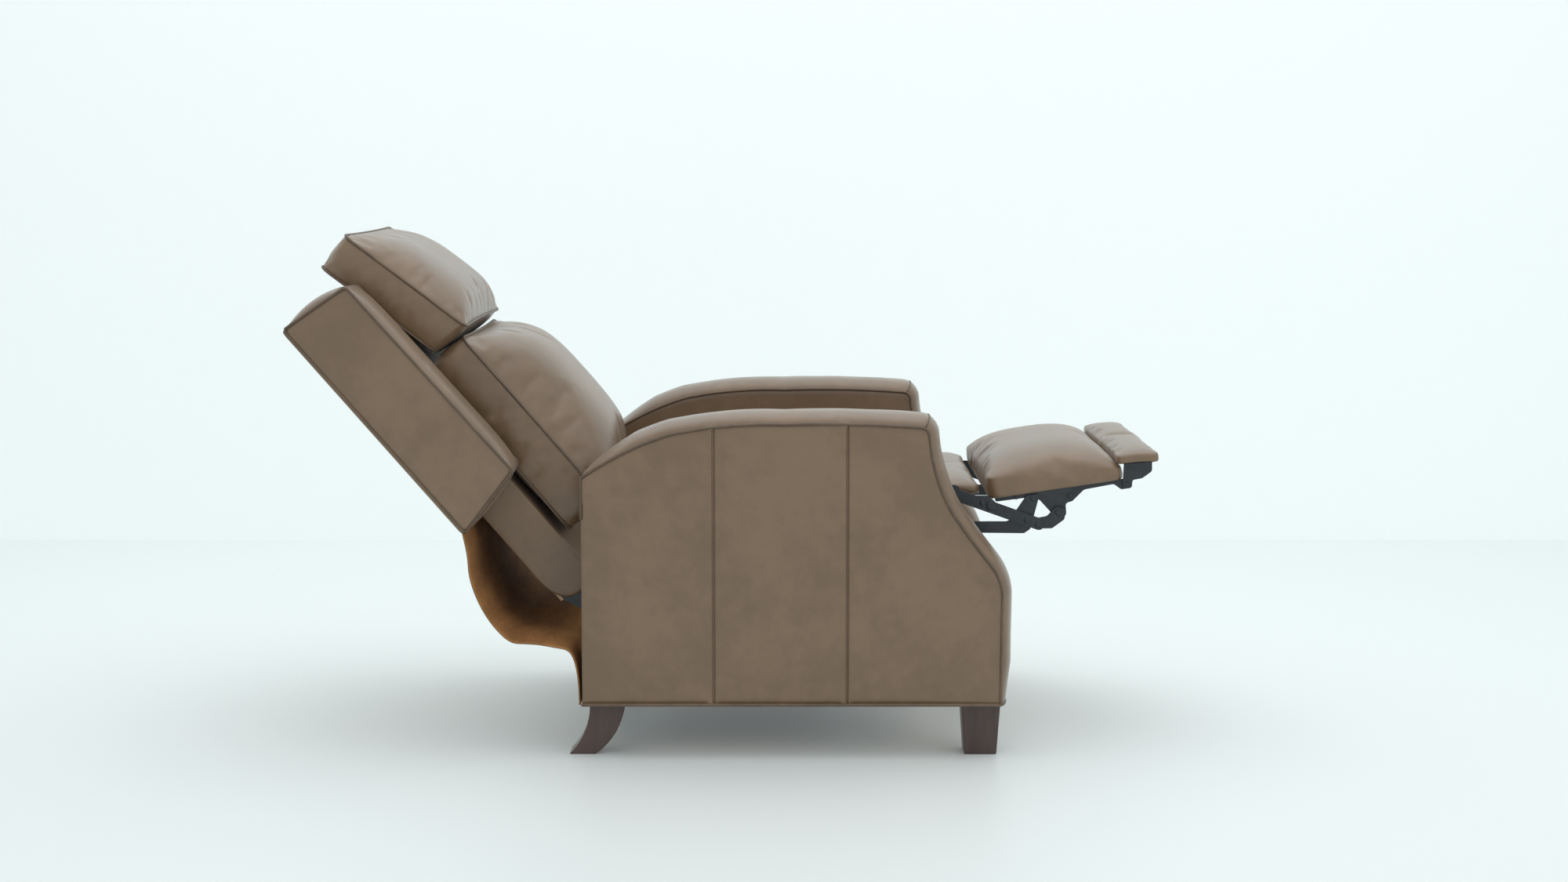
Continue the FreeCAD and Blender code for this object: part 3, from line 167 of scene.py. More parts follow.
def smooth_path(places: list[Point], steps: int) -> list[Point]:
    """A smooth curve through places.

    Args:
        places: Where it passes.
        steps: Number of points for each stretch.

    Returns:
        The points, both ends included.
    """
    ends = [places[0], *places, places[-1]]
    points = []
    for before, here, there, after in zip(ends, ends[1:], ends[2:], ends[3:]):
        for step in range(steps):
            f = step / steps
            weights = (-f + 2 * f**2 - f**3, 2 - 5 * f**2 + 3 * f**3, f + 4 * f**2 - 3 * f**3, f**3 - f**2)
            near = list(zip(weights, (before, here, there, after)))
            points.append(tuple(sum(weight * place[axis] for weight, place in near) / 2 for axis in (0, 1)))
    return points + [places[-1]]


# ---------------------------------------------------------------- shading

class Value:
    """A shader value that combines with numbers and other values."""

    def __init__(self, graph: "Graph", socket: bpy.types.NodeSocket) -> None:
        self.graph = graph
        self.socket = socket

    def _maths(self, operation: str, *others: "Value | float") -> "Value":
        node = self.graph.node("ShaderNodeMath", operation=operation)
        for slot, item in zip(node.inputs, (self, *others)):
            self.graph.feed(slot, item)
        return Value(self.graph, node.outputs[0])

    def __add__(self, other: "Value | float") -> "Value":
        return self._maths("ADD", other)

    def __mul__(self, other: "Value | float") -> "Value":
        return self._maths("MULTIPLY", other)

    def __sub__(self, other: "Value | float") -> "Value":
        return self._maths("SUBTRACT", other)

    def between(self, low: float, high: float) -> "Value":
        """0 at low, 1 at high, smoothly between."""
        node = self.graph.node("ShaderNodeMapRange", interpolation_type="SMOOTHSTEP")
        self.graph.feed(node.inputs["Value"], self)
        node.inputs["From Min"].default_value = low
        node.inputs["From Max"].default_value = high
        return Value(self.graph, node.outputs["Result"])


class Graph:
    """The node tree of one material."""

    def __init__(self, name: str) -> None:
        self.material = bpy.data.materials.new(name)
        self.material.use_nodes = True
        self.tree = self.material.node_tree
        self.shader = self.tree.nodes["Principled BSDF"]

    def node(self, kind: str, **settings: object) -> bpy.types.Node:
        """A new node with its settings."""
        made = self.tree.nodes.new(kind)
        for name, value in settings.items():
            setattr(made, name, value)
        return made

    def feed(self, slot: bpy.types.NodeSocket, item: "Value | float | tuple") -> None:
        """Gives a socket a value or a number."""
        if isinstance(item, Value):
            self.tree.links.new(item.socket, slot)
        else:
            slot.default_value = item

    def place(self, scale: tuple[float, float, float] = (1.0, 1.0, 1.0)) -> Value:
        """The place on the object, stretched along its axes."""
        coords = self.node("ShaderNodeTexCoord")
        mapping = self.node("ShaderNodeMapping")
        mapping.inputs["Scale"].default_value = scale
        self.tree.links.new(coords.outputs["Object"], mapping.inputs["Vector"])
        return Value(self, mapping.outputs["Vector"])

    def noise(self, place: Value, scale: float, detail: float = 3.0, roughness: float = 0.55) -> Value:
        """Soft noise, about 0.5."""
        made = self.node("ShaderNodeTexNoise")
        self.feed(made.inputs["Vector"], place)
        made.inputs["Scale"].default_value = scale
        made.inputs["Detail"].default_value = detail
        made.inputs["Roughness"].default_value = roughness
        return Value(self, made.outputs["Fac"])

    def cells(self, place: Value, scale: float) -> Value:
        """Distance to the edges of small cells."""
        made = self.node("ShaderNodeTexVoronoi", feature="DISTANCE_TO_EDGE")
        self.feed(made.inputs["Vector"], place)
        made.inputs["Scale"].default_value = scale
        return Value(self, made.outputs["Distance"])

    def mix(self, factor: Value, low: tuple, high: "tuple | Value") -> Value:
        """Two colours mixed by a factor."""
        made = self.node("ShaderNodeMix", data_type="RGBA")
        self.feed(made.inputs["Factor"], factor)
        for slot, item in ((made.inputs[6], low), (made.inputs[7], high)):
            self.feed(slot, item)
        return Value(self, made.outputs[2])

    def bump(self, height: Value, distance: float) -> None:
        """Raises the surface by height, over distance in metres."""
        made = self.node("ShaderNodeBump")
        self.feed(made.inputs["Height"], height)
        made.inputs["Distance"].default_value = distance
        made.inputs["Strength"].default_value = 1.0
        self.tree.links.new(made.outputs["Normal"], self.shader.inputs["Normal"])

    def set(self, **values: object) -> None:
        """Sets the shader's own inputs; a name's underscores stand for spaces."""
        for name, value in values.items():
            self.feed(self.shader.inputs[name.replace("_", " ")], value)


@dataclass(frozen=True)
class Finish:
    """One surface finish, made into a material the first time it is used."""

    name: str
    slot: str
    colour: tuple[float, float, float]
    dark: tuple[float, float, float]
    roughness: float = 0.5
    metallic: float = 0.0
    patch_scale: float = 6.0
    grain_scale: float = 0.0
    grain_depth: float = 0.0
    folds: float = 2.2
    stretch: tuple[float, float, float] = (1.0, 1.0, 1.0)
    coat: float = 0.0
    sheen: float = 0.0

    def material(self) -> bpy.types.Material:
        """The material of this finish."""
        if self.name in MADE:
            return MADE[self.name]
        graph = Graph(self.name)
        place = graph.place(self.stretch)
        patches = graph.noise(place, self.patch_scale, 5.0)
        fine = graph.noise(place, self.patch_scale * 7, 4.0)
        blend = (patches * 0.7 + fine * 0.3).between(0.36, 0.66)
        graph.set(Base_Color=graph.mix(blend, (*self.dark, 1.0), (*self.colour, 1.0)))
        graph.set(Roughness=(patches - 0.5) * 0.25 + self.roughness, Metallic=self.metallic,
                  Coat_Weight=self.coat, Coat_Roughness=0.32, Sheen_Weight=self.sheen, Sheen_Roughness=0.4)
        if self.grain_depth:
            grain = graph.cells(place, self.grain_scale).between(0.0, 0.35)
            soft = graph.noise(place, self.grain_scale * 0.35, 4.0)
            folds = graph.noise(place, self.grain_scale * 0.045, 3.0)
            graph.bump(grain * 0.5 + soft + folds * self.folds, self.grain_depth)
        MADE[self.name] = graph.material
        return graph.material


MADE: dict[str, bpy.types.Material] = {}
LEATHER = Finish("brown_hide", "leather", (0.208, 0.130, 0.070), (0.162, 0.099, 0.051), 0.42,
                 patch_scale=5.0, grain_scale=620.0, grain_depth=0.00012, folds=7.0, coat=0.5, sheen=0.1)
# Piping: the cover's own leather, painted darker than the cover so that each cord carries painted shade, the
# dark shade line that runs beside its seam.
PIPING_PAINTED_SHADE = Finish("piping", "leather", (0.160, 0.106, 0.066), (0.100, 0.066, 0.041), 0.45,
                patch_scale=9.0, grain_scale=620.0, grain_depth=0.00008)
THREAD = Finish("thread", "leather", (0.060, 0.042, 0.028), (0.040, 0.028, 0.019), 0.7)
FLESH = Finish("flesh_side", "suede", (0.50, 0.235, 0.076), (0.34, 0.152, 0.046), 0.95, patch_scale=22.0,
               grain_scale=900.0, grain_depth=0.0006, stretch=(0.25, 1.0, 1.0))
ESPRESSO = Finish("espresso_wood", "dark_wood", (0.082, 0.046, 0.037), (0.044, 0.026, 0.021), 0.42,
                  patch_scale=24.0, stretch=(1.0, 1.0, 0.09), coat=0.25)
TIMBER = Finish("frame_timber", "frame_wood", (0.60, 0.43, 0.26), (0.44, 0.29, 0.16), 0.7,
                patch_scale=30.0, stretch=(1.0, 0.1, 1.0))
PLY = Finish("plywood_board", "plywood", (0.56, 0.40, 0.25), (0.42, 0.28, 0.17), 0.7, patch_scale=26.0,
             stretch=(0.1, 1.0, 1.0))
STEEL = Finish("painted_steel", "painted_steel", (0.030, 0.036, 0.042), (0.018, 0.022, 0.026), 0.38,
               metallic=0.35, patch_scale=20.0, coat=0.2)
WIRE = Finish("spring_wire", "spring_steel", (0.10, 0.105, 0.11), (0.06, 0.062, 0.065), 0.4, metallic=0.8)
ZINC = Finish("zinc", "bolt_steel", (0.50, 0.51, 0.53), (0.34, 0.35, 0.37), 0.35,
              metallic=0.9, patch_scale=40.0)
LINING = Finish("lining_cloth", "lining", (0.020, 0.020, 0.021), (0.012, 0.012, 0.013), 0.95,
                patch_scale=60.0, grain_scale=1400.0, grain_depth=0.0003)
FINISHES = (LEATHER, FLESH, ESPRESSO, TIMBER, PLY, STEEL, WIRE, ZINC, LINING)


# ---------------------------------------------------------------- meshes

class Shell:
    """A mesh under construction, made of grids that share their edges."""

    def __init__(self, name: str) -> None:
        self.name = name
        self.mesh = bmesh.new()

    def grid(self, rows: list[list[Vector]], wrap: bool = False) -> None:
        """Adds a grid of quads.

        Args:
            rows: Rows of points, all of one length.
            wrap: Whether each row closes on itself.
        """
        verts = [[self.mesh.verts.new(point) for point in row] for row in rows]
        for low, high in zip(verts, verts[1:]):
            pairs = list(zip(low, low[1:], high[1:], high))
            if wrap:
                pairs.append((low[-1], low[0], high[0], high[-1]))
            for corners in pairs:
                self.mesh.faces.new(corners)

    def fill(self, *rings: list[Vector]) -> None:
        """Adds one flat face over each ring of points."""
        for ring in rings:
            self.mesh.faces.new([self.mesh.verts.new(point) for point in ring])

    def finish(self, finish: Finish, body: str | None, smooth: bool = True) -> bpy.types.Object:
        """Merges the grids into one closed mesh and hangs it on a body.

        Args:
            finish: Its surface.
            body: The CAD body that it moves with, or None to hang it on no body.
            smooth: Whether its faces are shaded smooth.

        Returns:
            The new object.
        """
        bmesh.ops.remove_doubles(self.mesh, verts=self.mesh.verts, dist=2e-5)
        bmesh.ops.dissolve_degenerate(self.mesh, edges=self.mesh.edges, dist=1e-6)
        bmesh.ops.recalc_face_normals(self.mesh, faces=self.mesh.faces)
        data = bpy.data.meshes.new(self.name)
        self.mesh.to_mesh(data)
        self.mesh.free()
        if smooth:
            data.shade_smooth()
        else:
            data.shade_flat()
        data.materials.append(finish.material())
        made = bpy.data.objects.new(self.name, data)
        bpy.context.scene.collection.objects.link(made)
        if body:
            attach(made, body)
        return made


def cord(name: str, path: list[Vector], radius: float, finish: Finish, body: str, closed: bool = False,
         sides: int = 8) -> bpy.types.Object:
    """A round cord laid along points, such as the piping of a seam.

    Args:
        name: Its name.
        path: The points of its middle line, in metres.
        radius: Its radius in millimetres.
        finish: Its surface.
        body: The CAD body that it moves with.
        closed: Whether it closes on itself.
        sides: Number of sides.

    Returns:
        The new object.
    """
    shell = Shell(name)
    count = len(path)
    side = None
    rings = []
    for index, point in enumerate(path):
        after = path[(index + 1) % count] if closed else path[min(index + 1, count - 1)]
        before = path[index - 1] if closed else path[max(index - 1, 0)]
        line = (after - before).normalized()
        start = side if side is not None else Vector((0.31, 0.52, 0.79))
        side = (start - line * start.dot(line)).normalized()
        other = line.cross(side)
        rings.append([point + (side * math.cos(turn) + other * math.sin(turn)) * radius * MM
                      for turn in (math.tau * k / sides for k in range(sides))])
    if closed:
        rings.append(rings[0])
    shell.grid(rings, wrap=True)
    if not closed:
        shell.fill(rings[0], rings[-1])
    return shell.finish(finish, body)


def stitches(name: str, path: list[Vector], pitch: float, radius: float, out: Vector,
             body: str) -> bpy.types.Object:
    """A row of short stitches along points.

    Args:
        name: Its name.
        path: The points of the row, in metres.
        pitch: Distance from one stitch to the next, in millimetres.
        radius: Radius of the thread, in millimetres.
        out: The surface's outward direction.
        body: The CAD body that they move with.

    Returns:
        The new object.
    """
    shell = Shell(name)
    travelled, due = 0.0, 0.0
    for here, there in zip(path, path[1:]):
        step = (there - here).length / MM
        line = (there - here).normalized()
        across = line.cross(out).normalized()
        while due < travelled + step:
            middle = here + line * (due - travelled) * MM
            reach = line * pitch * 0.32 * MM
            turns = [across * math.cos(a) + out * math.sin(a) for a in (math.tau * k / 5 for k in range(5))]
            rings = [[middle + reach * along + turn * radius * scale * MM for turn in turns]
                     for along, scale in ((-1.0, 0.35), (-0.6, 1.0), (0.6, 1.0), (1.0, 0.35))]
            shell.grid(rings, wrap=True)
            shell.fill(rings[0], rings[-1])
            due += pitch
        travelled += step
    return shell.finish(THREAD, body)


SETTLE_FRAMES = 20
HIDE_CLOTH = {"quality": 6, "mass": 0.4, "tension_stiffness": 25.0, "compression_stiffness": 25.0,
              "shear_stiffness": 10.0, "bending_stiffness": 0.8, "air_damping": 3.0, "use_pressure": True,
              "pin_stiffness": 1.0}


def settle(piece: bpy.types.Object, pinned: list[int], pressure: float, grow: float, cap: float) -> None:
    """Blows a closed cover up like a filled cushion, with its seams held.

    Args:
        piece: The cover.
        pinned: Vertices that stay where they are.
        pressure: Pressure of the filling.
        grow: How much larger the cover is than its shape, as a fraction.
        cap: The furthest that a point may move, in millimetres.
    """
    scene = bpy.context.scene
    rest = [vert.co.copy() for vert in piece.data.vertices]
    seams = piece.vertex_groups.new(name="seams")
    seams.add(pinned, 1.0, "REPLACE")
    modifier = piece.modifiers.new("filling", "CLOTH")
    cloth = modifier.settings
    for name, value in {**HIDE_CLOTH, "uniform_pressure_force": pressure, "shrink_min": -grow,
                        "shrink_max": -grow, "vertex_group_mass": seams.name}.items():
        setattr(cloth, name, value)
    cloth.effector_weights.gravity = 0.0
    modifier.point_cache.frame_start = 1
    modifier.point_cache.frame_end = SETTLE_FRAMES
    for step in range(1, SETTLE_FRAMES + 1):
        scene.frame_set(step)
    shaped = piece.evaluated_get(bpy.context.evaluated_depsgraph_get()).to_mesh()
    places = [vert.co.copy() for vert in shaped.vertices]
    piece.modifiers.remove(modifier)
    piece.vertex_groups.remove(seams)
    limit = cap * MM
    for vert, start, end in zip(piece.data.vertices, rest, places):
        move = end - start
        length = move.length
        vert.co = start + (move * (limit * math.tanh(length / limit) / length) if length > 1e-9 else move)
    scene.frame_set(1)


def refine(piece: bpy.types.Object) -> None:
    """Rounds a piece's facets."""
    surface = piece.modifiers.new("rounding", "SUBSURF")
    surface.levels = 1
    surface.render_levels = 1


def ripple(place: Vector, scale: float, seed: float) -> float:
    """Smooth noise from -1 to 1."""
    return noise.noise(place * scale + Vector((seed, 2 * seed, 3 * seed)))


# ---------------------------------------------------------------- cushions

@dataclass
class Filled:
    """A filled cover: two faces over one rounded outline, joined by a band between their rims.

    Each kind says where a point of its face and of its back lies; u runs from -1 to 1 across and v
    from 0 to 1 along.
    """

    name: str
    body: str
    plane: Plane
    half: float
    length: float
    border: float
    crown: float
    node: str
    side_power: float = 5.0
    corner: float = 22.0
    pull: float = 1.0
    rows: int = 28
    cap: float = 16.0
    grow: float = 0.012
    columns: int = 60
    pressure: ClassVar[float] = 3.0
    fill: ClassVar[float] = 0.8
    band_step: ClassVar[float] = 6.0
    band_bulge: ClassVar[float] = 2.5
    least_steps: ClassVar[int] = 2

    def rounded(self, x: float, y: float) -> Point:
        """Rounds the outline's corners; x and y count from its middle."""
        width, depth = self.half, self.length / 2
        near_x, near_y = abs(x) - (width - self.corner), abs(y) - (depth - self.corner)
        if near_x > 0 and near_y > 0:
            factor = max(near_x, near_y) / math.hypot(near_x, near_y)
            x = math.copysign(width - self.corner + near_x * factor, x)
            y = math.copysign(depth - self.corner + near_y * factor, y)
        return x, y

    def swell(self, u: float, v: float, start_power: float, end_power: float) -> float:
        """How full the crown is at a place, from 0 at the rim to 1."""
        w = 2 * v - 1
        along = 1 - abs(w) ** (end_power if w > 0 else start_power)
        across = 1 - abs(u) ** self.side_power
        return max(along, 0.0) * max(across, 0.0)

    def cover(self, middle: Vector, whole_back: bool) -> tuple[list[Vector], list[Vector]]:
        """Makes the cover from the places that face and back give, and fills it.

        Args:
            middle: The place that the band bulges away from.
            whole_back: Whether its whole back is held while it fills, or only its two rims.

        Returns:
            Its two rims.
        """
        shell = Shell(self.name)
        us = [-1 + 2 * k / self.columns for k in range(self.columns + 1)]
        vs = shares(self.rows)
        for face in (self.face, self.back):
            shell.grid([[face(u, v) for u in us] for v in vs])
        rim = ([(u, 0.0) for u in us] + [(1.0, v) for v in vs[1:]]
               + [(u, 1.0) for u in reversed(us[:-1])] + [(-1.0, v) for v in reversed(vs[1:-1])])
        front = [self.face(u, v) for u, v in rim]
        rear = [self.back(u, v) for u, v in rim]
        band = []
        for f in shares(max(round(self.border / self.band_step), self.least_steps)):
            row = []
            for a, b in zip(front, rear):
                point = a.lerp(b, f)
                out = (point - middle).normalized()
                row.append(point + out * self.band_bulge * MM * math.sin(math.pi * f))
            band.append(row)
        shell.grid(band, wrap=True)
        made = shell.finish(LEATHER, self.body)
        held = [self.back(u, v) for v in vs for u in us] if whole_back else front + rear
        places = {tuple(round(c, 5) for c in vert.co): vert.index for vert in made.data.vertices}
        keys = [tuple(round(c, 5) for c in point) for point in held]
        settle(made, [places[key] for key in keys if key in places], self.pressure, self.grow, self.cap)
        refine(made)
        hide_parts(self.node)
        return front, rear


@dataclass
class Cushion(Filled):
    """A cushion with a crowned face, a border band between two piped seams, and a flatter rear.

    Its plane's origin is the lower rear corner of its middle: 'up' runs along its length and 'ahead'
    out of its face.
    """

    top_power: float = 4.0
    foot_power: float = 4.0
    side_power: float = 4.0
    droop: float = 0.0
    reach: float = 0.0
    corner: float = 26.0
    pull: float = 5.0
    rear_crown: float = 10.0
    piping: float = 2.6
    grow: float = 0.03
    cap: float = 22.0
    rows: int = 44
    pressure: ClassVar[float] = 4.0
    fill: ClassVar[float] = 0.75
    band_step: ClassVar[float] = 9.0
    band_bulge: ClassVar[float] = 3.0
    least_steps: ClassVar[int] = 3

    def _outline(self, u: float, v: float) -> Point:
        """The flat outline's place, with rounded corners and sides pulled in a little."""
        width, height = self.half, self.length / 2
        x, y = self.rounded(self.half * u, self.length * v - height)
        bow_x = 1 - self.pull / width * (1 - (y / height) ** 2)
        bow_y = 1 - self.pull * 0.6 / height * (1 - (x / width) ** 2)
        return x * bow_x, y * bow_y + height

    def face(self, u: float, v: float) -> Vector:
        """A point of the crowned face."""
        x, y = self._outline(u, v)
        swell = self.swell(u, v, self.foot_power, self.top_power) ** 0.82
        across = 1 - abs(u) ** self.side_power
        overhang = self.droop * across * max(0.0, 1 - v * 3) * min(1.0, v * 9)
        return self.plane.at(x, self.border + self.crown * swell, y - overhang - self.reach * (1 - v))

    def back(self, u: float, v: float) -> Vector:
        """A point of the rear panel."""
        swell = max(1 - abs(2 * v - 1) ** 3, 0.0) * max(1 - abs(u) ** 3, 0.0)
        x, y = self._outline(u, v)
        return self.plane.at(x, -self.rear_crown * swell, y)

    def build(self) -> None:
        """Makes the cushion and lays its piping."""
        rims = self.cover(self.plane.at(0.0, self.border / 2, self.length / 2), whole_back=False)
        for label, loop in zip(("front", "rear"), rims):
            cord(f"{self.name}_{label}_piping", loop, self.piping, PIPING_PAINTED_SHADE, self.body, True)


@dataclass
class Pillow(Filled):
    """A soft pad pulled over a board: a crowned top, a rounded rim and a flat underside."""

    rear_power: float = 3.0
    front_power: float = 2.2
    start: float = 0.0
    lift: float = 0.0
    slope: float = 0.0

    def _outline(self, u: float, v: float) -> Point:
        """The outline's place, with rounded corners and sides pulled in a little."""
        depth = self.length / 2
        x, y = self.rounded(self.half * u, depth * (2 * v - 1))
        x *= 1 - self.pull / self.half * (1 - (y / depth) ** 2)
        return x, y + depth + self.start

    def face(self, u: float, v: float) -> Vector:
        """A point of the crowned top."""
        swell = self.swell(u, v, self.rear_power, self.front_power) ** 0.72
        base = self.lift + self.border + self.slope * v
        return self.plane.at(*self._outline(u, v), base + (self.crown - self.slope * v) * swell)

    def back(self, u: float, v: float) -> Vector:
        """A point of the underside."""
        return self.plane.at(*self._outline(u, v), self.lift)

    def build(self) -> None:
        """Makes the pad."""
        self.cover(self.plane.at(0.0, self.start + self.length / 2, self.lift), whole_back=True)


# ---------------------------------------------------------------- arms

@dataclass
class Arm:
    """One padded arm: two flat side panels, with a crowned band over its top and front."""

    side: Side
    inner: float = 274.0
    outer: float = 397.0
    hem: float = 102.0
    rear: float = -266.0
    front: float = 495.0
    shoulder: float = 516.0
    nose: float = 300.0
    crown: float = 21.0
    crown_run: float = 105.0
    foot_set: float = 1.5
    foot_run: float = 15.0
    seams: tuple[float, ...] = (-26.0, 215.5)
    rises: int = 44
    front_steps: int = 24
    band_steps: int = 18

    def outline(self) -> list[Point]:
        """The side panel's edge from the foot of its rear, over the top, to the foot of its front."""
        points = [(self.rear, self.hem + (self.shoulder - self.hem) * f) for f in shares(self.rises)]
        arcs = (((self.rear, self.shoulder), (-195.0, 558.0), (-104.0, 595.0), 22),
                ((-104.0, 595.0), (-10.0, 609.0), (101.0, 612.0), 24),
                ((101.0, 612.0), (225.0, 613.0), (346.0, 607.0), 28),
                ((346.0, 607.0), (356.0, 603.0), (361.0, 593.0), 6),
                ((361.0, 593.0), (374.0, 522.0), (404.0, 451.0), 16),
                ((404.0, 451.0), (438.0, 403.0), (475.0, 355.0), 13),
                ((475.0, 355.0), (489.0, 330.0), (self.front, self.nose), 8))
        for first, middle, last, steps in arcs:
            points += arc(first, middle, last, steps)
        return points + [(self.front - self.foot_set * f, self.nose - (self.nose - self.hem) * f)
                         for f in shares(self.front_steps)[1:]]

    def _crown_at(self, ahead: float, up: float) -> float:
        """How far the band rises over the edge at a place of the edge."""
        rise = min(1.0, max(0.0, (ahead - self.rear) / self.crown_run))
        if up <= self.shoulder and ahead < 0:
            rise = 0.0
        foot = min(1.0, 0.55 + (up - self.hem) / 160.0) if ahead > 400 else 1.0
        return self.crown * rise ** 0.8 * foot

    def _set_back(self, ahead: float) -> float:
        """How far the front's foot stands back from its top, for a column near the front."""
        return self.foot_set * max(0.0, (ahead - self.front + self.foot_run) / self.foot_run)

    def _columns(self, points: list[Point]) -> list[Point]:
        """The panel's columns as (ahead, height of the top), the rear and front edges included."""
        upper = points[self.rises:-self.front_steps]
        places = {round(ahead, 3): up for ahead, up in upper}
        for seam in self.seams:
            for shift in (-9, -6, -4, -2.5, -1.2, 0, 1.2, 2.5, 4, 6, 9):
                ahead = seam + shift
                for (a, p), (b, q) in zip(upper, upper[1:]):
                    if a <= ahead <= b:
                        places[round(ahead, 3)] = p + (q - p) * (ahead - a) / (b - a)
        return sorted(places.items())

    @staticmethod
    def _gathers(ahead: float, up: float, top: float) -> float:
        """Small folds where the panel meets the band."""
        below = max(top - up, 0.0)
        near = math.exp(-below / 18.0) * (1 - math.exp(-below / 4.0))
        return near * 1.3 * ripple(Vector((ahead, up * 0.15, 0.0)) * MM, 75.0, 7.0)

    def _relief(self, ahead: float, up: float, top: float) -> float:
        """How far the outer panel stands out at a place: puffed, and drawn in at its seams."""
        edge = max(min(up - self.hem, top - up, ahead - self.rear, self.front - ahead), 0.0)
        puff = 4.2 * (1 - math.exp(-edge / 26.0))
        for seam in self.seams:
            off = ahead - seam
            puff += 1.1 * math.exp(-(((off + 5.0) / 3.6) ** 2)) - 2.6 * math.exp(-((off / 1.9) ** 2))
        place = Vector((ahead, up, self.outer)) * MM
        loose = 1 - math.exp(-edge / 12.0)
        puff += loose * (1.1 * ripple(place, 9.0, 1.0 + self.side.value) + 0.45 * ripple(place, 26.0, 4.0))
        return puff + self._gathers(ahead, up, top)

    def _panel(self, columns: list[Point], outside: bool) -> list[list[Vector]]:
        """One side panel as rows of points.

        Args:
            columns: The panel's columns.
            outside: Whether it is the outer panel.

        Returns:
            The rows, from the hem up.
        """
        rows = []
        for f in shares(self.rises):
            row = []
            for ahead, top in columns:
                up = self.hem + (top - self.hem) * f
                if outside:
                    x = self.outer + self._relief(ahead, up, top)
                else:
                    x = self.inner - 0.25 * self._gathers(ahead + 3000.0, up, top)
                row.append(CHAIR.at(self.side.value * x, ahead - (1 - f) * self._set_back(ahead), up))
            rows.append(row)
        return rows

    def _band(self, edge: list[Point]) -> list[list[Vector]]:
        """The crowned band over the edge, as rows of points from the inner panel to the outer one."""
        rows = []
        for f in shares(self.band_steps):
            x = self.inner + (self.outer - self.inner) * f
            row = []
            for index, (ahead, up) in enumerate(edge):
                before, after = edge[max(index - 1, 0)], edge[min(index + 1, len(edge) - 1)]
                along, rise = after[0] - before[0], after[1] - before[1]
                lift = self._crown_at(ahead, up) * (1 - abs(2 * f - 1) ** 2.6) ** 0.7
                lift += lift * 0.04 * ripple(CHAIR.at(x, ahead, up), 18.0, 5.0)
                share = lift / math.hypot(along, rise)
                row.append(CHAIR.at(self.side.value * x, ahead - rise * share, up + along * share))
            rows.append(row)
        return rows

    def build(self) -> None:
        """Makes the arm with its piping, seams and stitches."""
        sign = self.side.value
        columns = self._columns(self.outline())
        name = f"arm_{self.side.label}"
        (_, low), (nose, high) = columns[0], columns[-1]
        rear = [(self.rear, self.hem + (low - self.hem) * f) for f in shares(self.rises)]
        front = [(nose - self.foot_set * (1 - f), self.hem + (high - self.hem) * f)
                 for f in reversed(shares(self.rises))]
        edge = rear + columns[1:-1] + front
        shell = Shell(f"{name}_cover")
        shell.grid(self._panel(columns, True))
        shell.grid(self._panel(columns, False))
        rows = self._band(edge)
        shell.grid(rows)
        floor = []
        for f, row in zip(shares(self.band_steps), rows):
            x = sign * (self.inner + (self.outer - self.inner) * f)
            under = [CHAIR.at(x, ahead - self._set_back(ahead), self.hem) for ahead, _ in columns[1:-1]]
            floor.append([row[0], *under, row[-1]])
        shell.grid(floor)
        cover = shell.finish(LEATHER, "base")
        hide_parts(f"arm_upholstery_{self.side.label}")
        for label, x, start in (("outer", self.outer + 1.2, self.rises - 8),
                                ("inner", self.inner - 0.4, self.rises)):
            line = [CHAIR.at(sign * x, *place) for place in edge[start:]]
            cord(f"{name}_{label}_piping", line, 2.5, PIPING_PAINTED_SHADE, "base")
        hem = [CHAIR.at(sign * x, ahead, self.hem - 1.0) for x, ahead in self._hem_line()]
        cord(f"{name}_hem_piping", hem, 3.4, PIPING_PAINTED_SHADE, "base", True)
        for number, seam in enumerate(self.seams):
            self._seam(f"{name}_seam_{number}", seam, columns)
        corner = min(range(len(edge)), key=lambda k: abs(edge[k][0] - 354.0) + abs(edge[k][1] - 605.0))
        cord(f"{name}_corner_piping", [row[corner] for row in rows], 1.8, PIPING_PAINTED_SHADE, "base")

    def _hem_line(self) -> list[Point]:
        """The cord round the arm's foot as (x, ahead) places."""
        start, run = self.rear + 1.0, self.front - self.rear - 16.0
        front = [(self.inner + (self.outer - self.inner) * f,
                  self.front - 2.0 + 11.0 * (1 - abs(2 * f - 1) ** 2.6) ** 0.7) for f in shares(14)]
        inner = [(self.inner, start + run * f) for f in shares(60)]
        outer = [(self.outer + 0.5, ahead) for _, ahead in reversed(inner)]
        return front + outer + inner

    def _seam(self, name: str, seam: float, columns: list[Point]) -> None:
        """Sews one upright seam of the outer panel: a sunk line, and stitches beside it.

        Args:
            name: What its pieces' names start with.
            seam: Its place ahead.
            columns: The panel's columns.
        """
        sign = self.side.value
        top = next(up for ahead, up in columns if ahead >= seam)

        def line(shift: float, low: float, high: float, stand: float) -> list[Vector]:
            """Points up the panel, beside the seam."""
            ups = [self.hem + low + (top - self.hem - low - high) * f for f in shares(59)]
            outs = [self.outer + self._relief(seam + shift, up, top) + stand for up in ups]
            return [CHAIR.at(sign * out, seam + shift, up) for out, up in zip(outs, ups)]

        stitches(f"{name}_stitches", line(-3.4, 6.0, 6.0, 0.1), 4.6, 0.75, Vector((sign, 0.0, 0.0)), "base")
        cord(f"{name}_line", line(0.0, 2.0, 1.0, -0.2), 0.7, THREAD, "base", sides=5)


# ---------------------------------------------------------------- boxed pads: wings, outer back, inner back

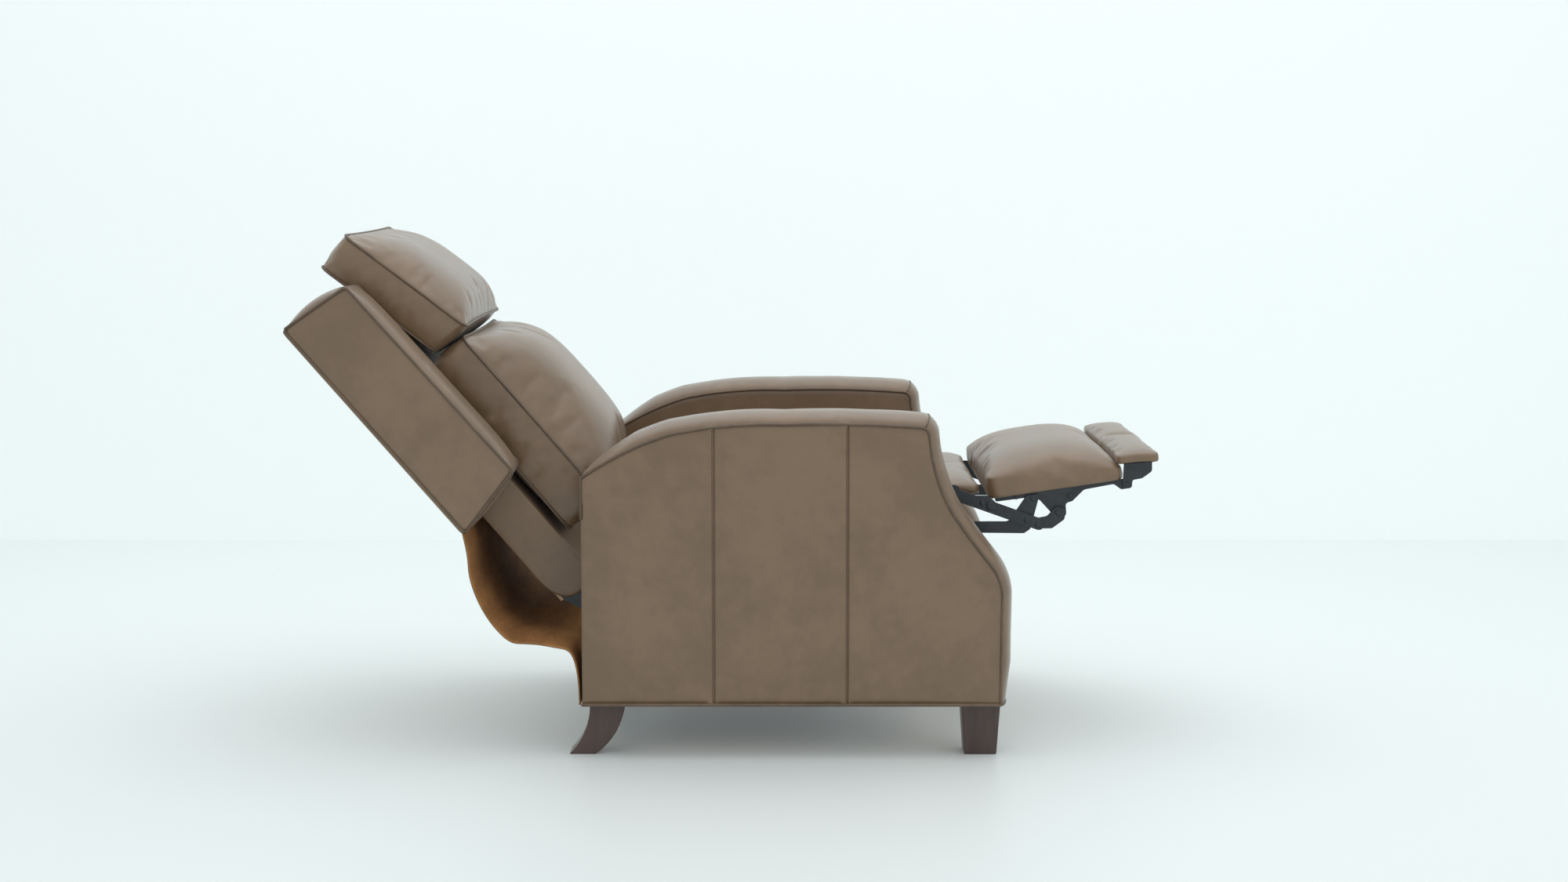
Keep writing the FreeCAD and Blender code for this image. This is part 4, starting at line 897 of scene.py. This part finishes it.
@dataclass
class BoxedPad:
    """A pad wrapped over a board: two faces across X, joined by a band that rises over each edge."""

    name: str
    body: str
    plane: Plane
    corners: tuple[Point, ...]
    rises: tuple[float, ...]
    inner: float
    outer: float
    node: str
    puff: float = 4.0
    radius: float = 7.0
    spacing: float = 9.0
    scales: tuple[float, ...] = (1.0, 0.975, 0.94, 0.88, 0.8, 0.7, 0.58, 0.44, 0.3, 0.16, 0.001)
    powers: tuple[float, ...] = ()
    piped: tuple[float, ...] = ()
    piping: float = 2.5

    def _loop(self) -> list[tuple[float, float, float, float, float]]:
        """The edge as (ahead, up, outward ahead, outward up, rise) places, once round."""
        count = len(self.corners)
        places = []
        for index, rise in enumerate(self.rises):
            start, end = self.corners[index], self.corners[(index + 1) % count]
            ahead, up = end[0] - start[0], end[1] - start[1]
            length = math.hypot(ahead, up)
            steps = max(2, round(length / self.spacing))
            for step in range(steps):
                f = (step + 0.5) / steps
                near = min(f, 1 - f) * length
                round_off = self.radius * max(0.0, 1 - near / self.radius) ** 2 * 0.35
                nx, ny = self._outward(ahead / length, up / length)
                swell = rise * (1 - abs(2 * f - 1) ** (self.powers[index] if self.powers else 6.0))
                places.append((start[0] + ahead * f - nx * round_off, start[1] + up * f - ny * round_off,
                               nx, ny, swell))
        return places

    def _outward(self, ahead: float, up: float) -> Point:
        """The outward side of an edge that runs this way."""
        pairs = zip(self.corners, self.corners[1:] + self.corners[:1])
        area = sum(a[0] * b[1] - b[0] * a[1] for a, b in pairs)
        return (up, -ahead) if area > 0 else (-up, ahead)

    def build(self) -> None:
        """Makes the pad and its piping."""
        shell = Shell(f"{self.name}_cover")
        loop = self._loop()
        middle = (sum(p[0] for p in loop) / len(loop), sum(p[1] for p in loop) / len(loop))
        width = abs(self.outer - self.inner)
        sign = 1 if self.outer > self.inner else -1
        for x, out in ((self.outer, sign), (self.inner, -sign)):
            rows = []
            for scale in self.scales:
                stand = self.puff * (1 - scale ** 5)
                row = []
                for ahead, up, *_ in loop:
                    here = (middle[0] + (ahead - middle[0]) * scale, middle[1] + (up - middle[1]) * scale)
                    soft = 0.9 * (1 - scale ** 8) * ripple(self.plane.at(x, *here), 11.0, 3.0)
                    row.append(self.plane.at(x + out * (stand + soft), *here))
                rows.append(row)
            shell.grid(rows, wrap=True)
            shell.fill(rows[-1])
        band = []
        for f in shares(max(4, round(width / self.spacing))):
            bulge = (1 - abs(2 * f - 1) ** 2.6) ** 0.7
            band.append([self.plane.at(self.inner + (self.outer - self.inner) * f, ahead + nx * rise * bulge,
                                       up + ny * rise * bulge) for ahead, up, nx, ny, rise in loop])
        shell.grid(band, wrap=True)
        cover = shell.finish(LEATHER, self.body)
        refine(cover)
        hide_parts(self.node)
        for number, x in enumerate(self.piped):
            cord(f"{self.name}_piping_{number}", [self.plane.at(x, ahead, up) for ahead, up, *_ in loop],
                 self.piping, PIPING_PAINTED_SHADE, self.body, True)


# ---------------------------------------------------------------- flap and dust cover

@dataclass
class Flap:
    """The leather flap from the outer back to the base, with its rough side inwards."""

    half: float = 386.0
    thickness: float = 1.3
    slack: float = 5.0
    columns: int = 48
    places: tuple[Point, ...] = (
        (-480.0, 414.0), (-472.0, 374.0), (-468.0, 334.0), (-456.0, 296.0), (-437.0, 260.0),
        (-413.0, 230.0), (-392.0, 215.0), (-368.0, 212.5), (-344.0, 210.5), (-317.0, 205.5),
        (-294.0, 200.0), (-283.0, 187.0), (-276.0, 162.0), (-272.5, 130.0), (-271.5, 98.0))

    def build(self) -> None:
        """Makes both layers of the flap."""
        path = smooth_path(list(self.places), 4)
        start, end = CHAIR.at(0.0, *self.places[0]), CHAIR.at(0.0, *self.places[-1])
        for name, finish, near in (("back_flap_outside", LEATHER, 0.0), ("back_flap_inside", FLESH, -1.0)):
            piece = sandwich(name, [self._layer(path, near), self._layer(path, near + 1.0)], finish, None)
            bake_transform(piece)
            if finish is LEATHER:
                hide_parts("back_flap")

    def _layer(self, path: list[Point], level: float) -> list[list[Vector]]:
        """One face of the flap.

        Args:
            path: Its middle line, as (ahead, up) places.
            level: How many thicknesses it lies outwards.

        Returns:
            Its points, in rows across.
        """
        rows = []
        for index, (ahead, up) in enumerate(path):
            before, after = path[max(index - 1, 0)], path[min(index + 1, len(path) - 1)]
            along = Vector((after[0] - before[0], after[1] - before[1])).normalized()
            out = Vector((along.y, -along.x))
            slack = math.sin(math.pi * index / (len(path) - 1)) ** 2 * self.slack
            row = []
            for f in shares(self.columns):
                x = self.half * (2 * f - 1)
                wave = slack * ripple(Vector((x, ahead * 0.4, up * 0.4)) * MM, 7.0, 9.0)
                shift = level * self.thickness + wave
                row.append(CHAIR.at(x, ahead + out.x * shift, up + out.y * shift))
            rows.append(row)
        return rows


def sandwich(name: str, sheets: list[list[list[Vector]]], finish: Finish,
             body: str | None) -> bpy.types.Object:
    """A thin sheet with two faces and a rim.

    Args:
        name: Its name.
        sheets: Both faces, as rows of points.
        finish: Its surface.
        body: The CAD body that it moves with, or None to hang it on no body.

    Returns:
        The new object.
    """
    shell = Shell(name)
    for rows in sheets:
        shell.grid(rows)
    shell.grid([rows[0] + [row[-1] for row in rows[1:]] + rows[-1][-2::-1] + [row[0] for row in rows[-2:0:-1]]
                for rows in sheets], wrap=True)
    return shell.finish(finish, body)


def dust_cover() -> None:
    """The thin lining stretched under the base."""
    width, length, rear, under, sag = 542.0, 574.0, -262.0, 102.6, 3.0
    sheets = [[[CHAIR.at((f - 0.5) * width, rear + length * g,
                         under + level - sag * math.sin(math.pi * g) * math.sin(math.pi * f))
                for f in shares(24)] for g in shares(24)] for level in (0.0, 1.0)]
    piece = sandwich("dust_lining", sheets, LINING, "base")
    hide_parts("dust_cover")


# ---------------------------------------------------------------- legs

LEG_MIDDLE = 330.0
LEG_TOP = 102.0


def front_leg(side: Side) -> None:
    """A square leg that narrows to its foot, with softened edges."""
    centre = side.value * LEG_MIDDLE
    square = ((-1, -1), (1, -1), (1, 1), (-1, 1))
    rings = [[CHAIR.at(centre + half * a, 460.0 + half * b, up) for a, b in square]
             for up, half in ((0.0, 29.5), (LEG_TOP, 36.0))]
    shell = Shell(f"front_leg_{side.label}_turned")
    shell.grid(rings, wrap=True)
    shell.fill(*rings)
    soften(shell, 2.2, f"front_leg_{side.label}")


def rear_leg(side: Side) -> None:
    """A leg that sweeps out behind the chair."""
    rear, front = ([(top, LEG_TOP), *arc((top, LEG_TOP), middle, (foot, 0.0), 12)] for top, middle, foot in (
        (-256.0, (-264.0, 46.0), -294.0), (-191.0, (-207.0, 43.0), -246.0)))
    shell = Shell(f"rear_leg_{side.label}_sawn")
    faces = [side.value * LEG_MIDDLE + shift for shift in (-28.0, 28.0)]
    for x in faces:
        shell.grid([[CHAIR.at(x, *place) for place in line] for line in (rear, front)])
    shell.grid([[CHAIR.at(x, *place) for place in rear + front[::-1]] for x in faces], wrap=True)
    soften(shell, 2.0, f"rear_leg_{side.label}")


def soften(shell: Shell, width: float, node: str) -> None:
    """Finishes a wooden leg with rounded edges.

    Args:
        shell: The leg's mesh.
        width: Width of its rounded edges, in millimetres.
        node: The CAD node that it replaces.
    """
    leg = shell.finish(ESPRESSO, "base", smooth=False)
    bevel = leg.modifiers.new("edges", "BEVEL")
    bevel.width = width * MM
    bevel.segments = 3
    bevel.limit_method = "ANGLE"
    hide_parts(node)


# ---------------------------------------------------------------- steel details

def rivet(name: str, x: float, out: int, ahead: float, up: float, radius: float, height: float,
          body: str) -> None:
    """A domed rivet head on a link.

    Args:
        name: Its name.
        x: The face it stands on.
        out: The sign of X that it points to.
        ahead: Its place ahead.
        up: Its place above the floor.
        radius: Its radius in millimetres.
        height: Its height in millimetres.
        body: The CAD body that it moves with.
    """
    shell = Shell(name)
    turns = [(radius * math.cos(a), radius * math.sin(a)) for a in (math.tau * k / 20 for k in range(20))]
    rings = [[CHAIR.at(x + out * height * level, ahead + scale * a, up + scale * b) for a, b in turns]
             for scale, level in ((1.0, 0.0), (1.0, 0.35), (0.82, 0.75), (0.45, 1.0), (0.05, 1.04))]
    shell.grid(rings, wrap=True)
    shell.fill(rings[0], rings[-1])
    shell.finish(STEEL, body)


# ---------------------------------------------------------------- camera, light and ground

def studio() -> None:
    """A pale room with soft light, and the camera square to the chair's side."""
    scene = bpy.context.scene
    camera = bpy.data.objects.new("camera", bpy.data.cameras.new("camera"))
    scene.collection.objects.link(camera)
    camera.data.lens = 56.3
    camera.data.sensor_width = 36.0
    camera.location = (-4.7625, -0.100, 1.0858)
    camera.rotation_euler = (math.radians(90.0 - 6.57), 0.0, math.radians(-90.0))
    scene.camera = camera
    scene.view_settings.view_transform = "Standard"

    ground = Graph("ground")
    ground.set(Base_Color=(0.78, 0.825, 0.81, 1.0), Roughness=0.45,
               Emission_Color=(0.86, 0.92, 0.92, 1.0), Emission_Strength=0.07)
    wall = Graph("wall")
    wall.set(Base_Color=(0.90, 0.94, 0.93, 1.0), Roughness=0.9,
             Emission_Color=(0.9, 0.96, 0.97, 1.0), Emission_Strength=0.12)
    surfaces = [
        ("floor", ground, [(-6, -6, 0), (2.5, -6, 0), (2.5, 6, 0), (-6, 6, 0)]),
        ("rear_wall", wall, [(2.2, -6, 0), (2.2, 6, 0), (2.2, 6, 5), (2.2, -6, 5)]),
    ]
    for name, graph, corners in surfaces:
        data = bpy.data.meshes.new(name)
        data.from_pydata(corners, [], [(0, 1, 2, 3)])
        data.materials.append(graph.material)
        made = bpy.data.objects.new(name, data)
        scene.collection.objects.link(made)
        made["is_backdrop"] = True
    world = bpy.data.worlds.new("studio")
    world.use_nodes = True
    sky = world.node_tree.nodes["Background"].inputs
    sky["Color"].default_value = (0.93, 0.97, 1.0, 1.0)
    sky["Strength"].default_value = 0.84
    scene.world = world
    for name, place, target, size, power in (
            ("key", (-0.6, -1.0, 3.8), (0.0, -0.1, 0.4), 3.4, 22.0),
            ("top", (1.3, 0.3, 3.4), (0.1, 0.0, 0.3), 3.4, 27.0),
            ("front", (-3.6, -2.8, 2.2), (0.0, -0.2, 0.4), 2.4, 6.0)):
        lamp = bpy.data.lights.new(name, "AREA")
        lamp.size = size
        lamp.energy = power
        made = bpy.data.objects.new(name, lamp)
        scene.collection.objects.link(made)
        made.location = place
        made.rotation_euler = (Vector(target) - Vector(place)).to_track_quat("-Z", "Y").to_euler()
        made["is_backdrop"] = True


# ---------------------------------------------------------------- the chair

class Chair:
    """The recliner's visual pieces, in the order in which they are made."""

    def frame_parts(self) -> None:
        """Gives every CAD node that stays its own finish."""
        slots = {part["node"]: part["material_slot"] for part in frame["record"]["subparts"]}
        by_slot = {finish.slot: finish for finish in reversed(FINISHES)}
        for node, made in frame["nodes"].items():
            finish = LINING if node in ("footrest_board", "flip_board", "mid_board") else by_slot[slots[node]]
            made.data.materials.clear()
            made.data.materials.append(finish.material())

    def arms(self) -> None:
        """Both arms."""
        for side in Side:
            Arm(side).build()

    def legs(self) -> None:
        """The four legs."""
        for side in Side:
            front_leg(side)
            rear_leg(side)

    def back(self) -> None:
        """Wings, outer and inner back, and the two back cushions."""
        wing = ((-70.5, 278.0), (70.0, 307.0), (64.0, 750.0), (-72.0, 765.0))
        for side in Side:
            sign, name = side.value, f"wing_{side.label}"
            BoxedPad(name, "back", BACK, wing, (7.0, 13.0, 16.0, 0.0), sign * 276.0, sign * 387.0, name,
                     powers=(3.0, 8.0, 2.2, 6.0), piped=(sign * 388.0, sign * 275.0)).build()
        outer = ((-76.0, 279.0), (-70.6, 279.0), (-70.6, 764.0), (-76.0, 764.0))
        BoxedPad("outer_back", "back", BACK, outer, (0.0, 0.0, 0.0, 5.0), -389.0, 389.0, "outer_back_panel",
                 puff=0.5, radius=2.0).build()
        inner = ((-49.0, 100.0), (-44.0, 78.0), (-32.0, 60.0), (-14.0, 51.0), (37.0, 51.0), (34.0, 560.0),
                 (14.0, 742.0), (-48.0, 742.0))
        BoxedPad("inner_back", "back", BACK, inner, (0.0, 0.0, 0.0, 0.0, 4.0, 1.0, 1.0, 1.0), -269.6, 269.6,
                 "inner_back_pad", puff=1.5, radius=5.0).build()
        Cushion("lumbar", "back", BACK.inner(56.0, 152.0), 262.0, 398.0, 86.0, 86.0, "lumbar_cushion",
                top_power=3.6, foot_power=4.5, side_power=3.6, cap=12.0, grow=0.015).build()
        Cushion("head", "back", BACK.inner(88.0, 560.0, 12.0), 268.0, 262.0, 72.0, 44.0, "head_cushion",
                top_power=2.2, foot_power=5.0, side_power=5.0, droop=10.0, reach=15.0, cap=9.0,
                grow=0.012).build()

    def seat(self) -> None:
        """The seat cushion."""
        Cushion("seat", "seat", LYING.inner(2.0, -18.0), 258.0, 550.0, 102.0, 20.0, "seat_cushion",
                top_power=3.0, foot_power=4.0, side_power=3.0, rear_crown=0.0).build()

    def rivets(self) -> None:
        """Domed heads on the outer ends of the footrest's pivots."""
        for side in Side:
            label, sign = side.label, side.value
            heads = [("drive", 267.0, 483.0, 447.0, 9.0), ("drive", 267.0, 467.0, 452.0, 5.0),
                     ("drive", 267.0, 572.0, 413.0, 7.0), ("drive", 267.0, 550.9, 420.5, 6.5),
                     (f"jog_{label}", 261.0, 609.9, 434.4, 7.0), (f"bent_{label}", 261.0, 562.0, 461.5, 6.0)]
            for along, drop in ((139.0, -16.0), (246.0, -10.0), (40.0, -3.5)):
                out, high = (FOOTREST.at(0.0, along, drop) / MM)[1:]
                heads.append(("footrest", 255.0, -out, high, 5.0))
            for number, (body, face, ahead, up, radius) in enumerate(heads):
                rivet(f"rivet_{label}_{number}", sign * face, sign, ahead, up, radius, 1.6, body)

    def footrest(self) -> None:
        """The three pads of the footrest."""
        Pillow("footrest_main", "footrest", FOOTREST, 262.0, 252.0, 40.0, 33.0, "footrest_pad", start=-11.0,
               lift=-0.6, slope=-14.0, rear_power=3.4, front_power=2.2, side_power=4.0, cap=7.0).build()
        Pillow("footrest_flip", "flip", FLIP, 261.0, 78.0, 16.0, 8.0, "flip_pad", start=-16.0, lift=37.4,
               rear_power=2.4, front_power=2.4, corner=12.0, cap=4.0, rows=14).build()
        Pillow("footrest_mid", "drive", MIDDLE, 237.0, 80.0, 16.0, 12.0, "mid_pad", start=-1.0, lift=-0.6,
               rear_power=2.4, front_power=2.4, corner=14.0, cap=4.0, rows=14).build()


def write_size(moment: str, sizes: dict) -> None:
    """Puts the model's bounds into sizes.

    Args:
        moment: When they were taken.
        sizes: What has been kept so far.
    """
    sizes[moment] = [[round(float(c), 5) for c in corner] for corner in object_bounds()]


def main() -> None:
    """Builds the chair on the CAD frame, group by group."""
    logging.basicConfig(level=logging.INFO, format="%(message)s")
    sizes: dict = {}
    write_size("loaded", sizes)
    chair = Chair()
    steps = (("frame parts", chair.frame_parts), ("legs", chair.legs), ("arms", chair.arms),
             ("back", chair.back), ("back flap", Flap().build), ("dust cover", dust_cover),
             ("seat", chair.seat), ("footrest", chair.footrest), ("rivets", chair.rivets),
             ("studio", studio))
    for label, step in steps:
        step()
        LOG.info("built %s", label)
    write_size("finished", sizes)


if __name__ == "__main__":
    main()
